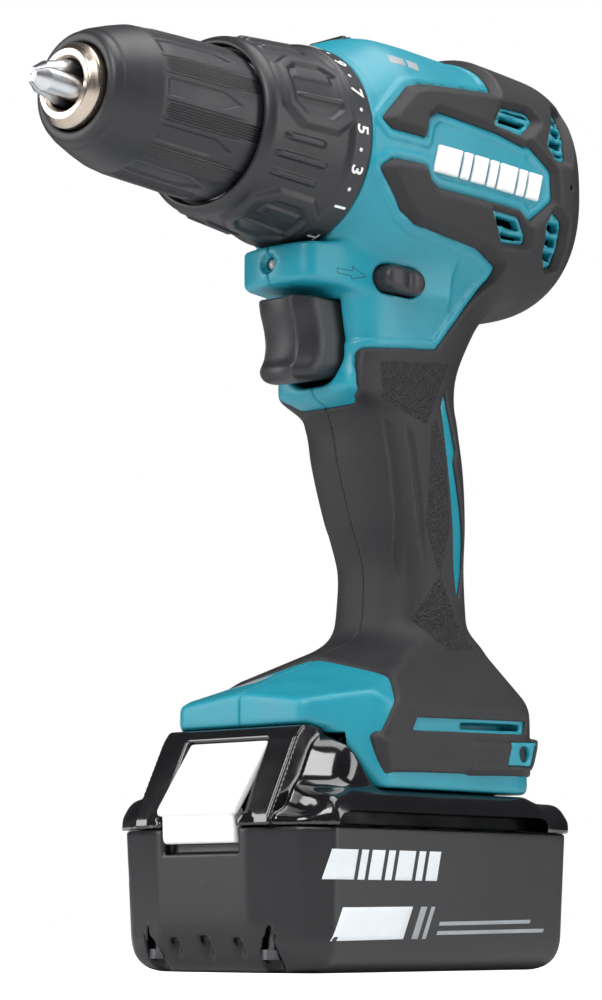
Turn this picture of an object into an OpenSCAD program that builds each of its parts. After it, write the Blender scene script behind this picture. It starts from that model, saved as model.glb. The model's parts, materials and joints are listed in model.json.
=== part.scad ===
// Cordless hammer driver drill with a keyless chuck and a slide-on battery.
// The nose points to -X, the tool's left side is -Y, and the origin is the centre
// of the flat face under the battery.

/* [Overall] */
// Height of the spindle axis above the base
spindle_z = 224; // [222:1:236]
// Radius of the plastic motor housing
barrel_r = 33; // [32:0.5:38]
// Rear end of the motor housing
barrel_rear_x = 70; // [70:1:82]
// Wall of every moulded casing
wall = 2.6; // [2:0.1:3]
// Thickness of the soft overmould
skin = 1.6; // [1:0.1:2]

/* [Battery] */
// Length of the pack
pack_l = 114.6; // [112:0.5:126]
// Width of the pack
pack_w = 75; // [74:0.5:84]
// Height of the seam between the two pack casings
seam_z = 37; // [37:0.5:42]
// Height of the ledge beside the rails
ledge_z = 45; // [44:0.5:46]
// Corner radius of the pack in plan
pack_corner_r = 10; // [6:0.5:14]
// Radius of a cell
cell_r = 9.1; // [8:0.1:9.1]
// Length of a cell
cell_l = 65; // [60:1:66]

/* [Chuck] */
// Front face of the steel nose ring
nose_x = -108.3; // [-112:0.1:-106]
// Radius of the round opening in the nose
nose_bore_r = 6.65; // [6.5:0.05:7.5]
// Outer radius of the sleeve at its rear
sleeve_r = 20.8; // [20.4:0.1:22]
// Radius of a jaw
jaw_r = 3.2; // [2.8:0.1:3.3]
// Length of a jaw
jaw_l = 33; // [28:1:34]
// Slant of the jaws to the spindle axis
jaw_slant = 15; // [13:0.5:16]
// How far the closed jaws stand out of the nose
jaw_reach = 11; // [8:0.5:11.5]

/* [Clutch] */
// Largest radius of the clutch ring
clutch_r = 28.6; // [27:0.1:29]
// Length of the clutch ring
clutch_l = 36; // [34:0.5:38]
// Number of grip lugs round the clutch ring
clutch_lugs = 9; // [6:1:12]

/* [Gears] */
// Gear module
tooth_module = 0.75; // [0.7:0.05:0.8]
// Teeth of each sun gear
sun_teeth = 12; // [12]
// Teeth of each planet gear
planet_teeth = 18; // [18]
// Face width of the gears
gear_w = 7.5; // [6:0.5:8]
// Backlash between two meshing flanks
backlash = 0.14; // [0.1:0.02:0.2]

/* [Motor] */
// Outer radius of the stator
stator_r = 26; // [23:0.5:27]
// Length of the stator core
stator_l = 20; // [14:1:21]
// Radius of the rotor core
rotor_r = 12.5; // [10:0.5:13]
// Radius of the motor shaft
shaft_r = 2.5; // [2:0.1:3]
// Outer radius of the motor bearings
motor_bearing_r = 8; // [7:0.5:9]

/* [Trigger] */
// Half width of the trigger
trigger_half_w = 9.5; // [8:0.5:11]
// Travel of the trigger
trigger_travel = 6.5; // [5:0.5:7]

/* [Clearances] */
// Gap between a sliding cover and the casing round it
cover_gap = 0.4; // [0.3:0.1:0.6]
// Radial clearance of a shaft in its bore
running_fit = 0.06; // [0.03:0.01:0.1]
// Gap between neighbouring rotating parts
turn_gap = 0.5; // [0.4:0.1:1]

/* [Hidden] */
$fn = 48;

// Stations along the spindle axis, front to rear
clutch_rear_x = -21;
clutch_front_x = clutch_rear_x - clutch_l;
sleeve_recess = 3;
sleeve_grooves = 18;
sleeve_rear_x = clutch_front_x + sleeve_recess / 2;
nose_ring_l = 6;
case_front_x = clutch_front_x + 3;
flange_x = -14;
flange_l = 4;
front_gear_x = flange_x + flange_l + turn_gap;
plate_x = front_gear_x + gear_w + turn_gap;
plate_l = 3;
rear_gear_x = plate_x + plate_l + turn_gap;
cover_x = rear_gear_x + gear_w + turn_gap + 1;
cover_l = 2.5;
front_bearing_x = cover_x + cover_l;
bearing_l = 4;
fan_x = front_bearing_x + bearing_l + 2;
fan_l = 5;
stator_x = fan_x + fan_l + 4;
winding_l = 3.5;
rear_bearing_x = stator_x + stator_l + winding_l + 2.5;
housing_front_x = clutch_rear_x + turn_gap;

// Gear geometry
ring_teeth = sun_teeth + 2 * planet_teeth;
sun_pitch_r = tooth_module * sun_teeth / 2;
planet_pitch_r = tooth_module * planet_teeth / 2;
ring_pitch_r = tooth_module * ring_teeth / 2;
orbit_r = sun_pitch_r + planet_pitch_r;
pressure_angle = 25;
addendum = 0.75 * tooth_module;
dedendum = 1.15 * tooth_module;
ring_outer_r = ring_pitch_r + dedendum + 2.6;
planet_pin_r = 2.5;
planet_bore_r = planet_pin_r + running_fit;
carrier_r = ring_pitch_r - addendum - 2.2;
case_inner_r = ring_outer_r + running_fit;
case_outer_r = case_inner_r + 2.8;
shift_travel = 3.5;

// Spindle and chuck
spindle_r = 6;
bearing_outer_r = 11;
case_nose_r = 15;
clutch_bore_r = clutch_r - 5;
chuck_core_r = 16.4;
sleeve_wall = 1.7;
sleeve_inner_r = sleeve_r - sleeve_wall;
jaw_tip_x = nose_x - jaw_reach;
jaw_travel = (nose_bore_r - 0.15) / sin(jaw_slant);
nut_x = -85;
nut_l = 7;
cam_x = case_front_x + 12;
spring_turns = 4;
spring_wire_r = 1.1;
spring_mean_r = case_nose_r + 3.4;
retainer_x = case_front_x + 8;
retainer_l = 3;
washer_x = clutch_rear_x - 4.5;
washer_l = 1.6;

// Casing: stations of the grip and foot as [z, front x, rear x, half width]
GRIP = [
    [64, -43, 39, 35.5], [70, -42, 39, 35], [76, -30, 41, 31], [84, -11, 43, 24],
    [92, 1, 42, 18.5], [100, 7, 40.5, 16.5], [110, 7, 40.5, 16], [124, 1.5, 42, 17],
    [140, -4, 42, 17.5], [150, -6, 40.5, 17.5], [156, -16, 40, 17.5], [166, -13, 40, 17.5],
    [176, -14, 44, 18.5], [184, -31, 50, 19.5], [spindle_z - 28, -30, 60, 22]];
SECTION_POWER = 2.8;
foot_low_z = 47.5;
foot_high_z = 64;
foot_front_x = -29;
foot_rear_x = 39;
foot_half_w = 36;
foot_corner_r = 5;

// Battery rails: a T-shaped head on a narrower neck
head_half_w = 28;
neck_half_w = 24;
head_z = 54;
tower_z = 61;
tower_front_x = -45;
tower_rear_x = 33.5;
pack_half_l = pack_l / 2;
pack_half_w = pack_w / 2;
button_half_w = 14;
button_low_z = 31;
button_front_x = -pack_half_l - 3;
button_rear_x = -46;
pocket_low_z = 22;
pocket_rear_x = button_rear_x + cover_gap;
cell_gap = 0.5;
cell_pitch = 2 * cell_r + cell_gap;
cell_rows_z = [3 + cell_r, 3.3 + 3 * cell_r];
cell_count = 5;
bay_front_x = pocket_rear_x + 1.2;
first_cell_x = bay_front_x + cell_r + cell_gap;
bay_rear_x = first_cell_x + (cell_count - 1) * cell_pitch + cell_r + cell_gap;
hook_x = 31.4;
hook_z = 58.2;
hook_r = 2;
insert_r = 4;
insert_l = 5;

// Screws across the casing as [x, z]
CASING_SCREWS = [[18, 191.5], [45, 188], [24, 150], [25, 104], [-32, 69.5], [32, 72]];
screw_r = 1.6;
screw_head_r = 3;
screw_head_y = 8;
screw_tip_y = -9;
boss_r = 4;

selector_x = 0;
selector_z = 187.5;
selector_half_l = 24;
lens_z = 188.5;
lens_r = 2.6;
trigger_low_z = 157.5;
trigger_high_z = 181.5;
trigger_front_x = -29;
trigger_rear_x = -9;
switch_front_x = trigger_rear_x + trigger_travel + 3.5;
switch_mid_z = 170;
plunger_r = 3;
plunger_seat = 6;

// ---------------------------------------------------------------- helpers

module on_spindle() {
    translate([0, 0, spindle_z]) rotate([0, 90, 0]) children();
}

// A solid of revolution about the spindle axis; outline points are [radius, x].
module spun(outline) {
    on_spindle() rotate_extrude() polygon(outline);
}

// A tube about the spindle axis.
module collar(x, l, r, bore = 0) {
    on_spindle() translate([0, 0, x]) difference() {
        cylinder(h = l, r = r);
        if (bore > 0) translate([0, 0, -1]) cylinder(h = l + 2, r = bore);
    }
}

// An outline drawn in X and Z, extruded across Y between two values.
module across(y0, y1, outline) {
    translate([0, y1, 0]) rotate([90, 0, 0]) linear_extrude(y1 - y0) polygon(outline);
}

// A block given by its opposite corners.
module block(low, high) {
    translate(low) cube(high - low);
}

// A cylinder across Y.
module pin_y(x, z, r, y0, y1) {
    translate([x, y0, z]) rotate([-90, 0, 0]) cylinder(h = y1 - y0, r = r);
}

// A plan rectangle with rounded corners, from true arcs.
module rounded_plate(x0, x1, half_w, r, z0, z1) {
    translate([0, 0, z0]) linear_extrude(z1 - z0) union() {
        translate([x0 + r, -half_w]) square([x1 - x0 - 2 * r, 2 * half_w]);
        translate([x0, -half_w + r]) square([x1 - x0, 2 * (half_w - r)]);
        for (x = [x0 + r, x1 - r], y = [-half_w + r, half_w - r])
            translate([x, y]) circle(r);
    }
}

// One ring of a superellipse section.
function section_ring(s, grow, sides) = [for (i = [0:sides - 1])
    let (a = i * 360 / sides, c = cos(a), n = sin(a), p = 2 / SECTION_POWER)
    [(s[1] + s[2]) / 2 + ((s[2] - s[1]) / 2 + grow) * sign(c) * pow(abs(c), p),
     (s[3] + grow) * sign(n) * pow(abs(n), p), s[0]]];

// A skin through a list of sections, closed at both ends.
module loft(stations, grow, sides = 28) {
    count = len(stations);
    points = [for (s = stations) each section_ring(s, grow, sides)];
    sides_faces = [for (k = [0:count - 2], i = [0:sides - 1])
        let (a = k * sides + i, b = k * sides + (i + 1) % sides)
        each [[a, a + sides, b], [b, a + sides, b + sides]]];
    ends = [[for (i = [0:sides - 1]) i],
            [for (i = [sides - 1:-1:0]) (count - 1) * sides + i]];
    polyhedron(points, concat(sides_faces, ends));
}

// A round wire wound along +Z: turns, mean radius, wire radius, free length.
module coil(turns, mean_r, wire_r, length) {
    sides = 6;
    steps = turns * 16;
    pitch = (length - 2 * wire_r) / turns;
    points = [for (k = [0:steps], j = [0:sides - 1])
        let (a = k * 360 / 16, b = j * 360 / sides, r = mean_r + wire_r * cos(b))
        [r * cos(a), r * sin(a), wire_r + pitch * k / 16 + wire_r * sin(b)]];
    skin_faces = [for (k = [0:steps - 1], j = [0:sides - 1])
        let (a = k * sides + j, b = k * sides + (j + 1) % sides)
        each [[a, b, a + sides], [b, b + sides, a + sides]]];
    ends = [[for (j = [sides - 1:-1:0]) j], [for (j = [0:sides - 1]) steps * sides + j]];
    polyhedron(points, concat(skin_faces, ends));
}

// Half angle of a tooth at one radius; slack widens or narrows the tooth.
function involute(a) = tan(a) * 180 / PI - a;
function half_tooth(teeth, r, slack) =
    let (pitch_r = tooth_module * teeth / 2, base_r = pitch_r * cos(pressure_angle),
         a = acos(min(1, base_r / max(r, base_r))))
    90 / teeth - slack / pitch_r * 90 / PI + involute(pressure_angle) - involute(a);

// The outline of a spur gear, with its first tooth on +X.
function gear_outline(teeth, root_r, tip_r, slack) =
    let (base_r = tooth_module * teeth / 2 * cos(pressure_angle), low_r = max(root_r, base_r),
         radii = [root_r, for (k = [0:3]) low_r + (tip_r - low_r) * k / 3])
    [for (t = [0:teeth - 1]) each concat(
        [for (r = radii) let (a = t * 360 / teeth - half_tooth(teeth, r, slack))
            r * [cos(a), sin(a)]],
        [for (k = [len(radii) - 1:-1:0])
            let (r = radii[k], a = t * 360 / teeth + half_tooth(teeth, r, slack))
            r * [cos(a), sin(a)]])];

module spur(teeth, l, bore) {
    r = tooth_module * teeth / 2;
    difference() {
        linear_extrude(l) polygon(gear_outline(teeth, r - dedendum, r + addendum, backlash / 2));
        if (bore > 0) translate([0, 0, -1]) cylinder(h = l + 2, r = bore);
    }
}

module ring_gear(x, l) {
    on_spindle() translate([0, 0, x]) difference() {
        cylinder(h = l, r = ring_outer_r);
        translate([0, 0, -1]) rotate(180 / ring_teeth) linear_extrude(l + 2)
            polygon(gear_outline(ring_teeth, ring_pitch_r - addendum,
                                 ring_pitch_r + dedendum, -backlash / 2));
    }
}

module planet(x, k) {
    on_spindle() rotate(120 * k) translate([orbit_r, 0, x]) rotate(180 / planet_teeth)
        spur(planet_teeth, gear_w, planet_bore_r);
}

// A ball bearing about the spindle axis, drawn as its two races and shield.
module bearing(x, l, bore, outer_r) {
    difference() {
        collar(x, l, outer_r, bore);
        for (face = [x - 1, x + l - 0.4]) collar(face, 1.4, outer_r - 1.4, bore + 1.2);
    }
}

// ---------------------------------------------------------------- casing

module casing_solid(grow = 0) {
    r = barrel_r + grow;
    spun([[0, housing_front_x], [clutch_r - 0.3, housing_front_x], [r - 1.5, -12], [r, -4],
          [r, barrel_rear_x - 8], [r - 2.5, barrel_rear_x - 3],
          [r - 6, barrel_rear_x + grow], [0, barrel_rear_x + grow]]);
    loft(GRIP, grow);
    rounded_plate(foot_front_x, foot_rear_x, foot_half_w, foot_corner_r,
                  foot_low_z, foot_high_z + 2);
}

module casing_hollow() {
    r = barrel_r - wall;
    difference() {
        spun([[0, housing_front_x - 1], [case_outer_r + 0.2, housing_front_x - 1],
              [case_outer_r + 0.2, -12], [r, -4], [r, barrel_rear_x - 8],
              [0, barrel_rear_x - wall - 2]]);
        for (x = [stator_x + 2, stator_x + stator_l - 4])
            collar(x, 2, r + 1, stator_r + 0.1);
        collar(rear_bearing_x, bearing_l, r + 1, motor_bearing_r);
    }
    difference() {
        loft(GRIP, -wall);
        block([-60, -50, 60], [60, 50, foot_high_z + wall]);
    }
}

// The T-shaped slot that the pack slides into from the front.
module rail_slot() {
    block([-60, -neck_half_w - cover_gap, foot_low_z - 1],
          [tower_rear_x + 1, neck_half_w + cover_gap, head_z]);
    block([-60, -head_half_w - cover_gap, head_z - cover_gap],
          [tower_rear_x + 1, head_half_w + cover_gap, tower_z + cover_gap]);
}

module half(side) {
    if (side < 0) block([-150, -60, 0], [150, 0, 300]);
    else block([-150, 0, 0], [150, 60, 300]);
}

module trigger_window() {
    g = cover_gap;
    block([-60, -trigger_half_w - g, trigger_low_z - g],
          [switch_front_x, trigger_half_w + g, trigger_high_z + g]);
}

module selector_channel(y0, y1) {
    block([selector_x - 9 - 0.3, y0, selector_z - 4 - 0.3],
          [selector_x + 9 + 0.3, y1, selector_z + 4 + 0.3]);
}

module vent_slots() {
    for (x = [40, 47, 56, 63]) for (z = [-17, -11, 11, 17])
        block([x, -60, spindle_z + z - 1.5], [x + 4, 60, spindle_z + z + 1.5]);
}

module housing_half(side) {
    difference() {
        intersection() {
            union() {
                difference() {
                    casing_solid();
                    casing_hollow();
                }
                intersection() {
                    casing_solid();
                    for (s = CASING_SCREWS) pin_y(s[0], s[1], boss_r, -60, 60);
                }
            }
            half(side);
        }
        rail_slot();
        trigger_window();
        selector_channel(-60, 60);
        vent_slots();
        collar(housing_front_x - 1, cover_x - housing_front_x, case_outer_r + 0.2);
        translate([-60, 0, lens_z]) rotate([0, 90, 0]) cylinder(h = 40, r = lens_r);
        for (s = CASING_SCREWS) {
            pin_y(s[0], s[1], side < 0 ? screw_r : screw_r + 0.2, screw_tip_y - 0.5, 60);
            if (side > 0) pin_y(s[0], s[1], screw_head_r + 0.3, screw_head_y - 2.4, 60);
        }
        pin_y(hook_x, hook_z, insert_r, side < 0 ? -60 : foot_half_w - insert_l,
              side < 0 ? -foot_half_w + insert_l : 60);
        selector_top_opening();
    }
}

module selector_top_opening() {
    block([-9, -7.4, spindle_z + 20], [-9 + 13.8 + shift_travel, 7.4, spindle_z + 60]);
}

module housing_left() color([0.16, 0.6, 0.7]) housing_half(-1);
module housing_right() color([0.16, 0.6, 0.7]) housing_half(1);

// The soft skin: rear bumper, two arms along the motor, and the whole grip.
module skin_region(y0, y1) {
    across(y0, y1, [[-9, 231], [-5, 241], [28, 245.5], [34, 262], [80, 262], [80, 190],
        [46, 150], [60, 80], [-24, 78], [-24, 84], [-6, 100], [-12, 148], [2, 160],
        [12, 176], [28, 193], [22, 199], [-6, 203], [-11, 216], [7, 219.5], [7, 215],
        [46, 216], [56, 219], [56, 231], [46, 232.5], [7, 229], [7, 228]]);
}

module overmould(side) {
    difference() {
        intersection() {
            casing_solid(skin);
            half(side);
            skin_region(-60, 60);
        }
        casing_solid();
        rail_slot();
        vent_slots();
        block([-60, -60, 0], [60, 60, foot_high_z + 2]);
        block([-60, -60, selector_z + 60], [10, 60, 300]);
        for (s = CASING_SCREWS) pin_y(s[0], s[1], screw_head_r + 0.3, 0, 60);
    }
}

module overmould_left() color([0.13, 0.13, 0.14]) overmould(-1);
module overmould_right() color([0.13, 0.13, 0.14]) overmould(1);

// A plain raised bar on each side panel.
module side_marks() color("white") {
    for (side = [-1, 1]) difference() {
        intersection() {
            casing_solid(0.8);
            across(side < 0 ? -60 : 0, side < 0 ? 0 : 60,
                   [[14, 220], [50, 221.5], [50, 226.5], [14, 225]]);
        }
        casing_solid();
    }
}

module housing_screws() color("dimgray") {
    for (s = CASING_SCREWS) {
        pin_y(s[0], s[1], screw_r, screw_tip_y, screw_head_y - 2.3);
        difference() {
            pin_y(s[0], s[1], screw_head_r, screw_head_y - 2.4, screw_head_y);
            pin_y(s[0], s[1], 1.2, screw_head_y - 1.4, screw_head_y + 1);
        }
    }
}

module hook_insert(side) {
    low = side < 0 ? -foot_half_w : foot_half_w - insert_l;
    difference() {
        pin_y(hook_x, hook_z, insert_r, low, low + insert_l);
        pin_y(hook_x, hook_z, hook_r, low - 1, low + insert_l + 1);
    }
}

module hook_insert_left() color("silver") hook_insert(-1);
module hook_insert_right() color("silver") hook_insert(1);

module led_lens() color([0.9, 0.92, 0.85]) {
    translate([-30.5, 0, lens_z]) rotate([0, 90, 0]) cylinder(h = 6, r = lens_r);
}

// ---------------------------------------------------------------- trigger and switch

module trigger() color([0.1, 0.1, 0.11]) {
    low = trigger_low_z;
    high = trigger_high_z;
    difference() {
        across(-trigger_half_w, trigger_half_w, [[trigger_front_x + 5, high],
            [trigger_front_x + 2.5, high - 5], [trigger_front_x + 1, high - 13],
            [trigger_front_x, low + 3], [trigger_front_x + 2, low], [trigger_rear_x, low],
            [trigger_rear_x, high]]);
        block([trigger_rear_x - plunger_seat, -6, switch_mid_z - 6], [trigger_rear_x + 1, 6, switch_mid_z + 6]);
    }
}

module trigger_plunger() color("gray") {
    start = trigger_rear_x - plunger_seat;
    translate([start, 0, switch_mid_z]) rotate([0, 90, 0])
        cylinder(h = switch_front_x - start + 4, r = plunger_r);
}

module trigger_spring() color("silver") {
    start = trigger_rear_x - plunger_seat;
    translate([start, 0, switch_mid_z]) rotate([0, 90, 0])
        coil(6, plunger_r + 1, 0.4, switch_front_x - start);
}

module switch_body() color([0.15, 0.15, 0.16]) {
    difference() {
        block([switch_front_x, -12, 158], [30, 12, 180]);
        translate([switch_front_x - 1, 0, switch_mid_z]) rotate([0, 90, 0])
            cylinder(h = 4 + trigger_travel + 3, r = plunger_r + running_fit);
    }
}

module direction_selector() color([0.1, 0.1, 0.11]) {
    block([selector_x - 9, -selector_half_l, selector_z - 4],
          [selector_x + 9, selector_half_l, selector_z + 4]);
}

module speed_selector() color([0.1, 0.1, 0.11]) {
    top = spindle_z + barrel_r + skin;
    block([-8.6, -7, spindle_z + barrel_r - 5], [4.4, 7, top - 0.6]);
    block([-4, -6, top - 1], [-1, 6, top + 0.2]);
}

// ---------------------------------------------------------------- gear box

module gear_case() color("lightgray") {
    difference() {
        union() {
            collar(case_front_x, clutch_rear_x - case_front_x, case_nose_r);
            collar(clutch_rear_x, cover_x - clutch_rear_x, case_outer_r);
        }
        collar(case_front_x - 1, 200, spindle_r + 0.8);
        collar(case_front_x - 1, 1 + bearing_l + 2, bearing_outer_r);
        collar(cam_x - 1, 9.5, bearing_outer_r);
        collar(flange_x - 8, 9, bearing_outer_r);
        collar(flange_x - turn_gap, 200, case_inner_r);
        block([front_gear_x, -1.6, spindle_z + 15],
              [front_gear_x + 5 + shift_travel, 1.6, spindle_z + 40]);
    }
}

module gear_case_cover() color("gray") {
    collar(cover_x, cover_l, case_outer_r, shaft_r + 2.2);
    collar(cover_x + cover_l, bearing_l, motor_bearing_r + 1.5, motor_bearing_r);
}

module ring_gear_rear() color("silver") ring_gear(rear_gear_x - 0.3, gear_w + 0.6);
module ring_gear_front() color("silver") ring_gear(front_gear_x - 0.3, gear_w);

module spindle_bearings() color("silver") {
    bearing(case_front_x, bearing_l + 2, spindle_r + running_fit, bearing_outer_r);
    bearing(flange_x - 8, 6, spindle_r + running_fit, bearing_outer_r);
}

module clutch_washer() color("silver") {
    collar(washer_x, washer_l, spring_mean_r + 2.4, case_nose_r + 0.15);
}

module hammer_cam(x, l, face_x, bore, phase) {
    difference() {
        collar(x, l, bearing_outer_r - phase * 0.6, bore);
        on_spindle() for (k = [0:11]) rotate(30 * k) translate([0, -0.8, face_x])
            cube([20, 1.6, 1.2]);
    }
}

module hammer_cam_fixed() color("gray") hammer_cam(cam_x + 5, 3.5, cam_x + 4.4, spindle_r + 0.8, 0);
module hammer_cam_turning() color("gray") hammer_cam(cam_x, 3.5, cam_x + 2.9, spindle_r, 1);

module carrier_rear() color("silver") {
    difference() {
        collar(plate_x, plate_l, carrier_r);
        collar(plate_x + 1.5, 10, shaft_r + 1);
    }
    on_spindle() {
        for (k = [0:2]) rotate(120 * k) translate([orbit_r, 0, plate_x + plate_l - 0.5])
            cylinder(h = gear_w + 1, r = planet_pin_r);
        translate([0, 0, front_gear_x]) spur(sun_teeth, gear_w + turn_gap + 0.5, 0);
    }
}

module planet_front_1() color("silver") planet(front_gear_x, 0);
module planet_front_2() color("silver") planet(front_gear_x, 1);
module planet_front_3() color("silver") planet(front_gear_x, 2);
module planet_rear_1() color("silver") planet(rear_gear_x, 0);
module planet_rear_2() color("silver") planet(rear_gear_x, 1);
module planet_rear_3() color("silver") planet(rear_gear_x, 2);

module shift_wire() color("silver") {
    wire_z = spindle_z + case_outer_r + 1;
    finger_x = front_gear_x + 1;
    block([finger_x, -1, spindle_z + ring_outer_r - 0.3], [finger_x + 2, 1, wire_z + 2]);
    block([finger_x, -1, wire_z], [-2, 1, wire_z + 2]);
    block([-4, -1, wire_z], [-2, 1, spindle_z + barrel_r - 5]);
}

// ---------------------------------------------------------------- motor

module rotor() color("silver") {
    collar(rear_gear_x + gear_w + 0.5, rear_bearing_x + bearing_l - rear_gear_x - gear_w - 0.5,
           shaft_r);
    collar(stator_x, stator_l, rotor_r, shaft_r - 0.01);
}

module motor_pinion() color("gray") {
    on_spindle() translate([0, 0, rear_gear_x]) spur(sun_teeth, gear_w + 0.5, 0);
}

module fan() color([0.2, 0.2, 0.22]) {
    difference() {
        union() {
            collar(fan_x, 1.4, stator_r - 3, shaft_r);
            collar(fan_x, fan_l, 6, shaft_r);
            on_spindle() for (k = [0:14]) rotate(24 * k) translate([7, -0.5, fan_x + 1])
                cube([stator_r - 11, 1, fan_l - 1]);
        }
        collar(fan_x - 1, fan_l + 2, shaft_r);
    }
}

module stator() color("gray") {
    on_spindle() translate([0, 0, stator_x]) difference() {
        cylinder(h = stator_l, r = stator_r);
        translate([0, 0, -1]) cylinder(h = stator_l + 2, r = rotor_r + turn_gap);
        for (k = [0:5]) rotate(60 * k + 30) translate([rotor_r + 2.5, -3.5, -1])
            cube([stator_r - rotor_r - 6, 7, stator_l + 2]);
    }
}

module windings() color([0.72, 0.4, 0.2]) {
    for (x = [stator_x - winding_l, stator_x + stator_l]) difference() {
        collar(x, winding_l, stator_r - 3, rotor_r + 2.5);
        on_spindle() for (k = [0:5]) rotate(60 * k + 30) translate([0, -1, x - 1])
            cube([40, 2, winding_l + 2]);
    }
}

module motor_bearings() color("silver") {
    for (x = [front_bearing_x, rear_bearing_x])
        bearing(x, bearing_l, shaft_r + running_fit, motor_bearing_r);
}

// ---------------------------------------------------------------- spindle and chuck

module spindle() color("silver") {
    difference() {
        collar(sleeve_rear_x - 16, flange_x - sleeve_rear_x + 16.5, spindle_r);
        collar(sleeve_rear_x - 18, 12, 2.5);
    }
    collar(flange_x, flange_l, carrier_r);
    on_spindle() for (k = [0:2]) rotate(120 * k) translate([orbit_r, 0, flange_x + flange_l - 0.5])
        cylinder(h = gear_w + turn_gap + 0.4, r = planet_pin_r);
}

// Places a jaw-shaped thing for one of three jaws, its slanted axis along the local Z.
module on_jaw(k) {
    translate([0, 0, spindle_z]) rotate([120 * k, 0, 0]) translate([jaw_tip_x, 0, 0])
        rotate([0, 90 - jaw_slant, 0]) children();
}

module chuck_body() color("gray") {
    front = nose_x + nose_ring_l;
    slope = tan(jaw_slant);
    groove = [for (x = [nut_x - 0.4, nut_x + nut_l + 0.4])
        [(x - jaw_tip_x) * slope + jaw_r / cos(jaw_slant) - 0.1, x]];
    difference() {
        spun([[0, front], [10.8, front], [12.8, front + 4], [15.4, front + 12],
              [chuck_core_r, front + 16], [chuck_core_r, nut_x - 0.4], groove[0], groove[1],
              [chuck_core_r, nut_x + nut_l + 0.4], [chuck_core_r, sleeve_rear_x - 1],
              [0, sleeve_rear_x - 1]]);
        collar(nose_x - 1, sleeve_rear_x - 16.2 - nose_x + 1, nose_bore_r);
        collar(sleeve_rear_x - 17, 30, spindle_r);
        for (k = [0:2]) on_jaw(k) cylinder(h = jaw_l + jaw_travel + 2, r = jaw_r + running_fit);
    }
}

module nose_ring() color([0.75, 0.72, 0.65]) {
    back = nose_x + nose_ring_l;
    widen = nose_ring_l * tan(jaw_slant);
    spun([[nose_bore_r, nose_x], [nose_bore_r + 2.2, nose_x], [11.2, back], [nose_bore_r + widen + 0.2, back]]);
}

module chuck_sleeve() color([0.1, 0.1, 0.11]) {
    front = nose_x + nose_ring_l - 0.2;
    difference() {
        spun([[11.6, front + 0.4], [13, front - 1], [14.6, front], [17.8, front + 7],
              [19.5, front + 12.5], [sleeve_r - 0.6, front + 20], [sleeve_r, sleeve_rear_x],
              [sleeve_inner_r, sleeve_rear_x], [sleeve_inner_r, nut_x],
              [17.1, nut_x - 0.2], [17.1, front + 12], [13.8, front + 3]]);
        on_spindle() for (k = [0:sleeve_grooves - 1]) rotate(360 / sleeve_grooves * k)
            translate([sleeve_r + 0.5, 0, front + 20.5])
                cylinder(h = sleeve_rear_x - front - 19.5, r = 1.2);
    }
}

module jaw_nut() color("gray") {
    slope = tan(jaw_slant);
    outer = jaw_r / cos(jaw_slant) + 0.15;
    spun([[(nut_x - jaw_tip_x) * slope + outer, nut_x + 0.1], [sleeve_inner_r, nut_x + 0.1],
          [sleeve_inner_r, nut_x + nut_l], [(nut_x + nut_l - jaw_tip_x) * slope + outer, nut_x + nut_l]]);
}

module jaw(k) {
    intersection() {
        on_jaw(k) cylinder(h = jaw_l, r = jaw_r);
        translate([0, 0, spindle_z]) rotate([120 * k, 0, 0]) rotate([0, 90, 0])
            translate([0, 0, jaw_tip_x - 1]) linear_extrude(60)
            polygon([[-0.15, 0], [-20.15, -20 * tan(60)], [-20.15, 20 * tan(60)]]);
        spun([[0, jaw_tip_x], [1.8, jaw_tip_x], [4.4, jaw_tip_x + 4], [30, jaw_tip_x + 40],
              [0, jaw_tip_x + 60]]);
    }
}

module jaw_1() color("silver") jaw(0);
module jaw_2() color("silver") jaw(1);
module jaw_3() color("silver") jaw(2);

// ---------------------------------------------------------------- clutch

module clutch_ring() color([0.1, 0.1, 0.11]) {
    front = clutch_front_x;
    rear = clutch_rear_x;
    mouth_r = sleeve_r + 0.8;
    spun([[mouth_r, front], [mouth_r + 1.4, front], [24.6, front + 1.5], [25.4, front + 14],
          [clutch_r - 0.8, rear - 7], [clutch_r, rear - 1], [clutch_r - 0.6, rear],
          [clutch_bore_r, rear], [clutch_bore_r, front + 6], [20, front + 4.5],
          [20, front + sleeve_recess], [mouth_r, front + sleeve_recess]]);
    on_spindle() for (k = [0:clutch_lugs - 1]) rotate(360 / clutch_lugs * k)
        translate([clutch_bore_r + 0.6, -4, front + 6]) rotate([0, 6.5, 0]) cube([2.4, 8, 21]);
}

module spring_retainer() color("silver") {
    collar(retainer_x, retainer_l, clutch_bore_r - 0.4, case_nose_r + 0.15);
}

module clutch_spring() color("silver") {
    start = retainer_x + retainer_l;
    on_spindle() translate([0, 0, start]) coil(spring_turns, spring_mean_r, spring_wire_r,
                                               washer_x - start);
}

// ---------------------------------------------------------------- foot electronics

module controller_board() color([0.1, 0.35, 0.2]) {
    block([-22, -20, foot_high_z + wall + 0.4], [24, 20, foot_high_z + wall + 2]);
    block([-14, -14, foot_high_z + wall + 2], [14, 14, foot_high_z + wall + 7]);
}

module terminal_block() color([0.15, 0.15, 0.16]) {
    block([14, -16, tower_z - 4], [tower_rear_x, 16, tower_z + 0.3]);
    for (y = [-10, 0, 10]) block([-6, y - 0.5, tower_z - 3.5], [14, y + 0.5, tower_z - 0.4]);
}

// ---------------------------------------------------------------- battery

module pack_block(z0, z1, inset = 0) {
    rounded_plate(-pack_half_l + inset, pack_half_l - inset, pack_half_w - inset,
                  pack_corner_r - min(inset, 4), z0, z1);
}

module cell_bay(z0, z1) {
    block([bay_front_x, -cell_l / 2 - 0.6, z0], [bay_rear_x, cell_l / 2 + 0.6, z1]);
}

// The pocket in the front of the pack that the release button slides in.
module button_pocket() {
    g = cover_gap;
    block([-90, -button_half_w - g, pocket_low_z], [pocket_rear_x, button_half_w + g, tower_z + 1]);
}

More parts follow.
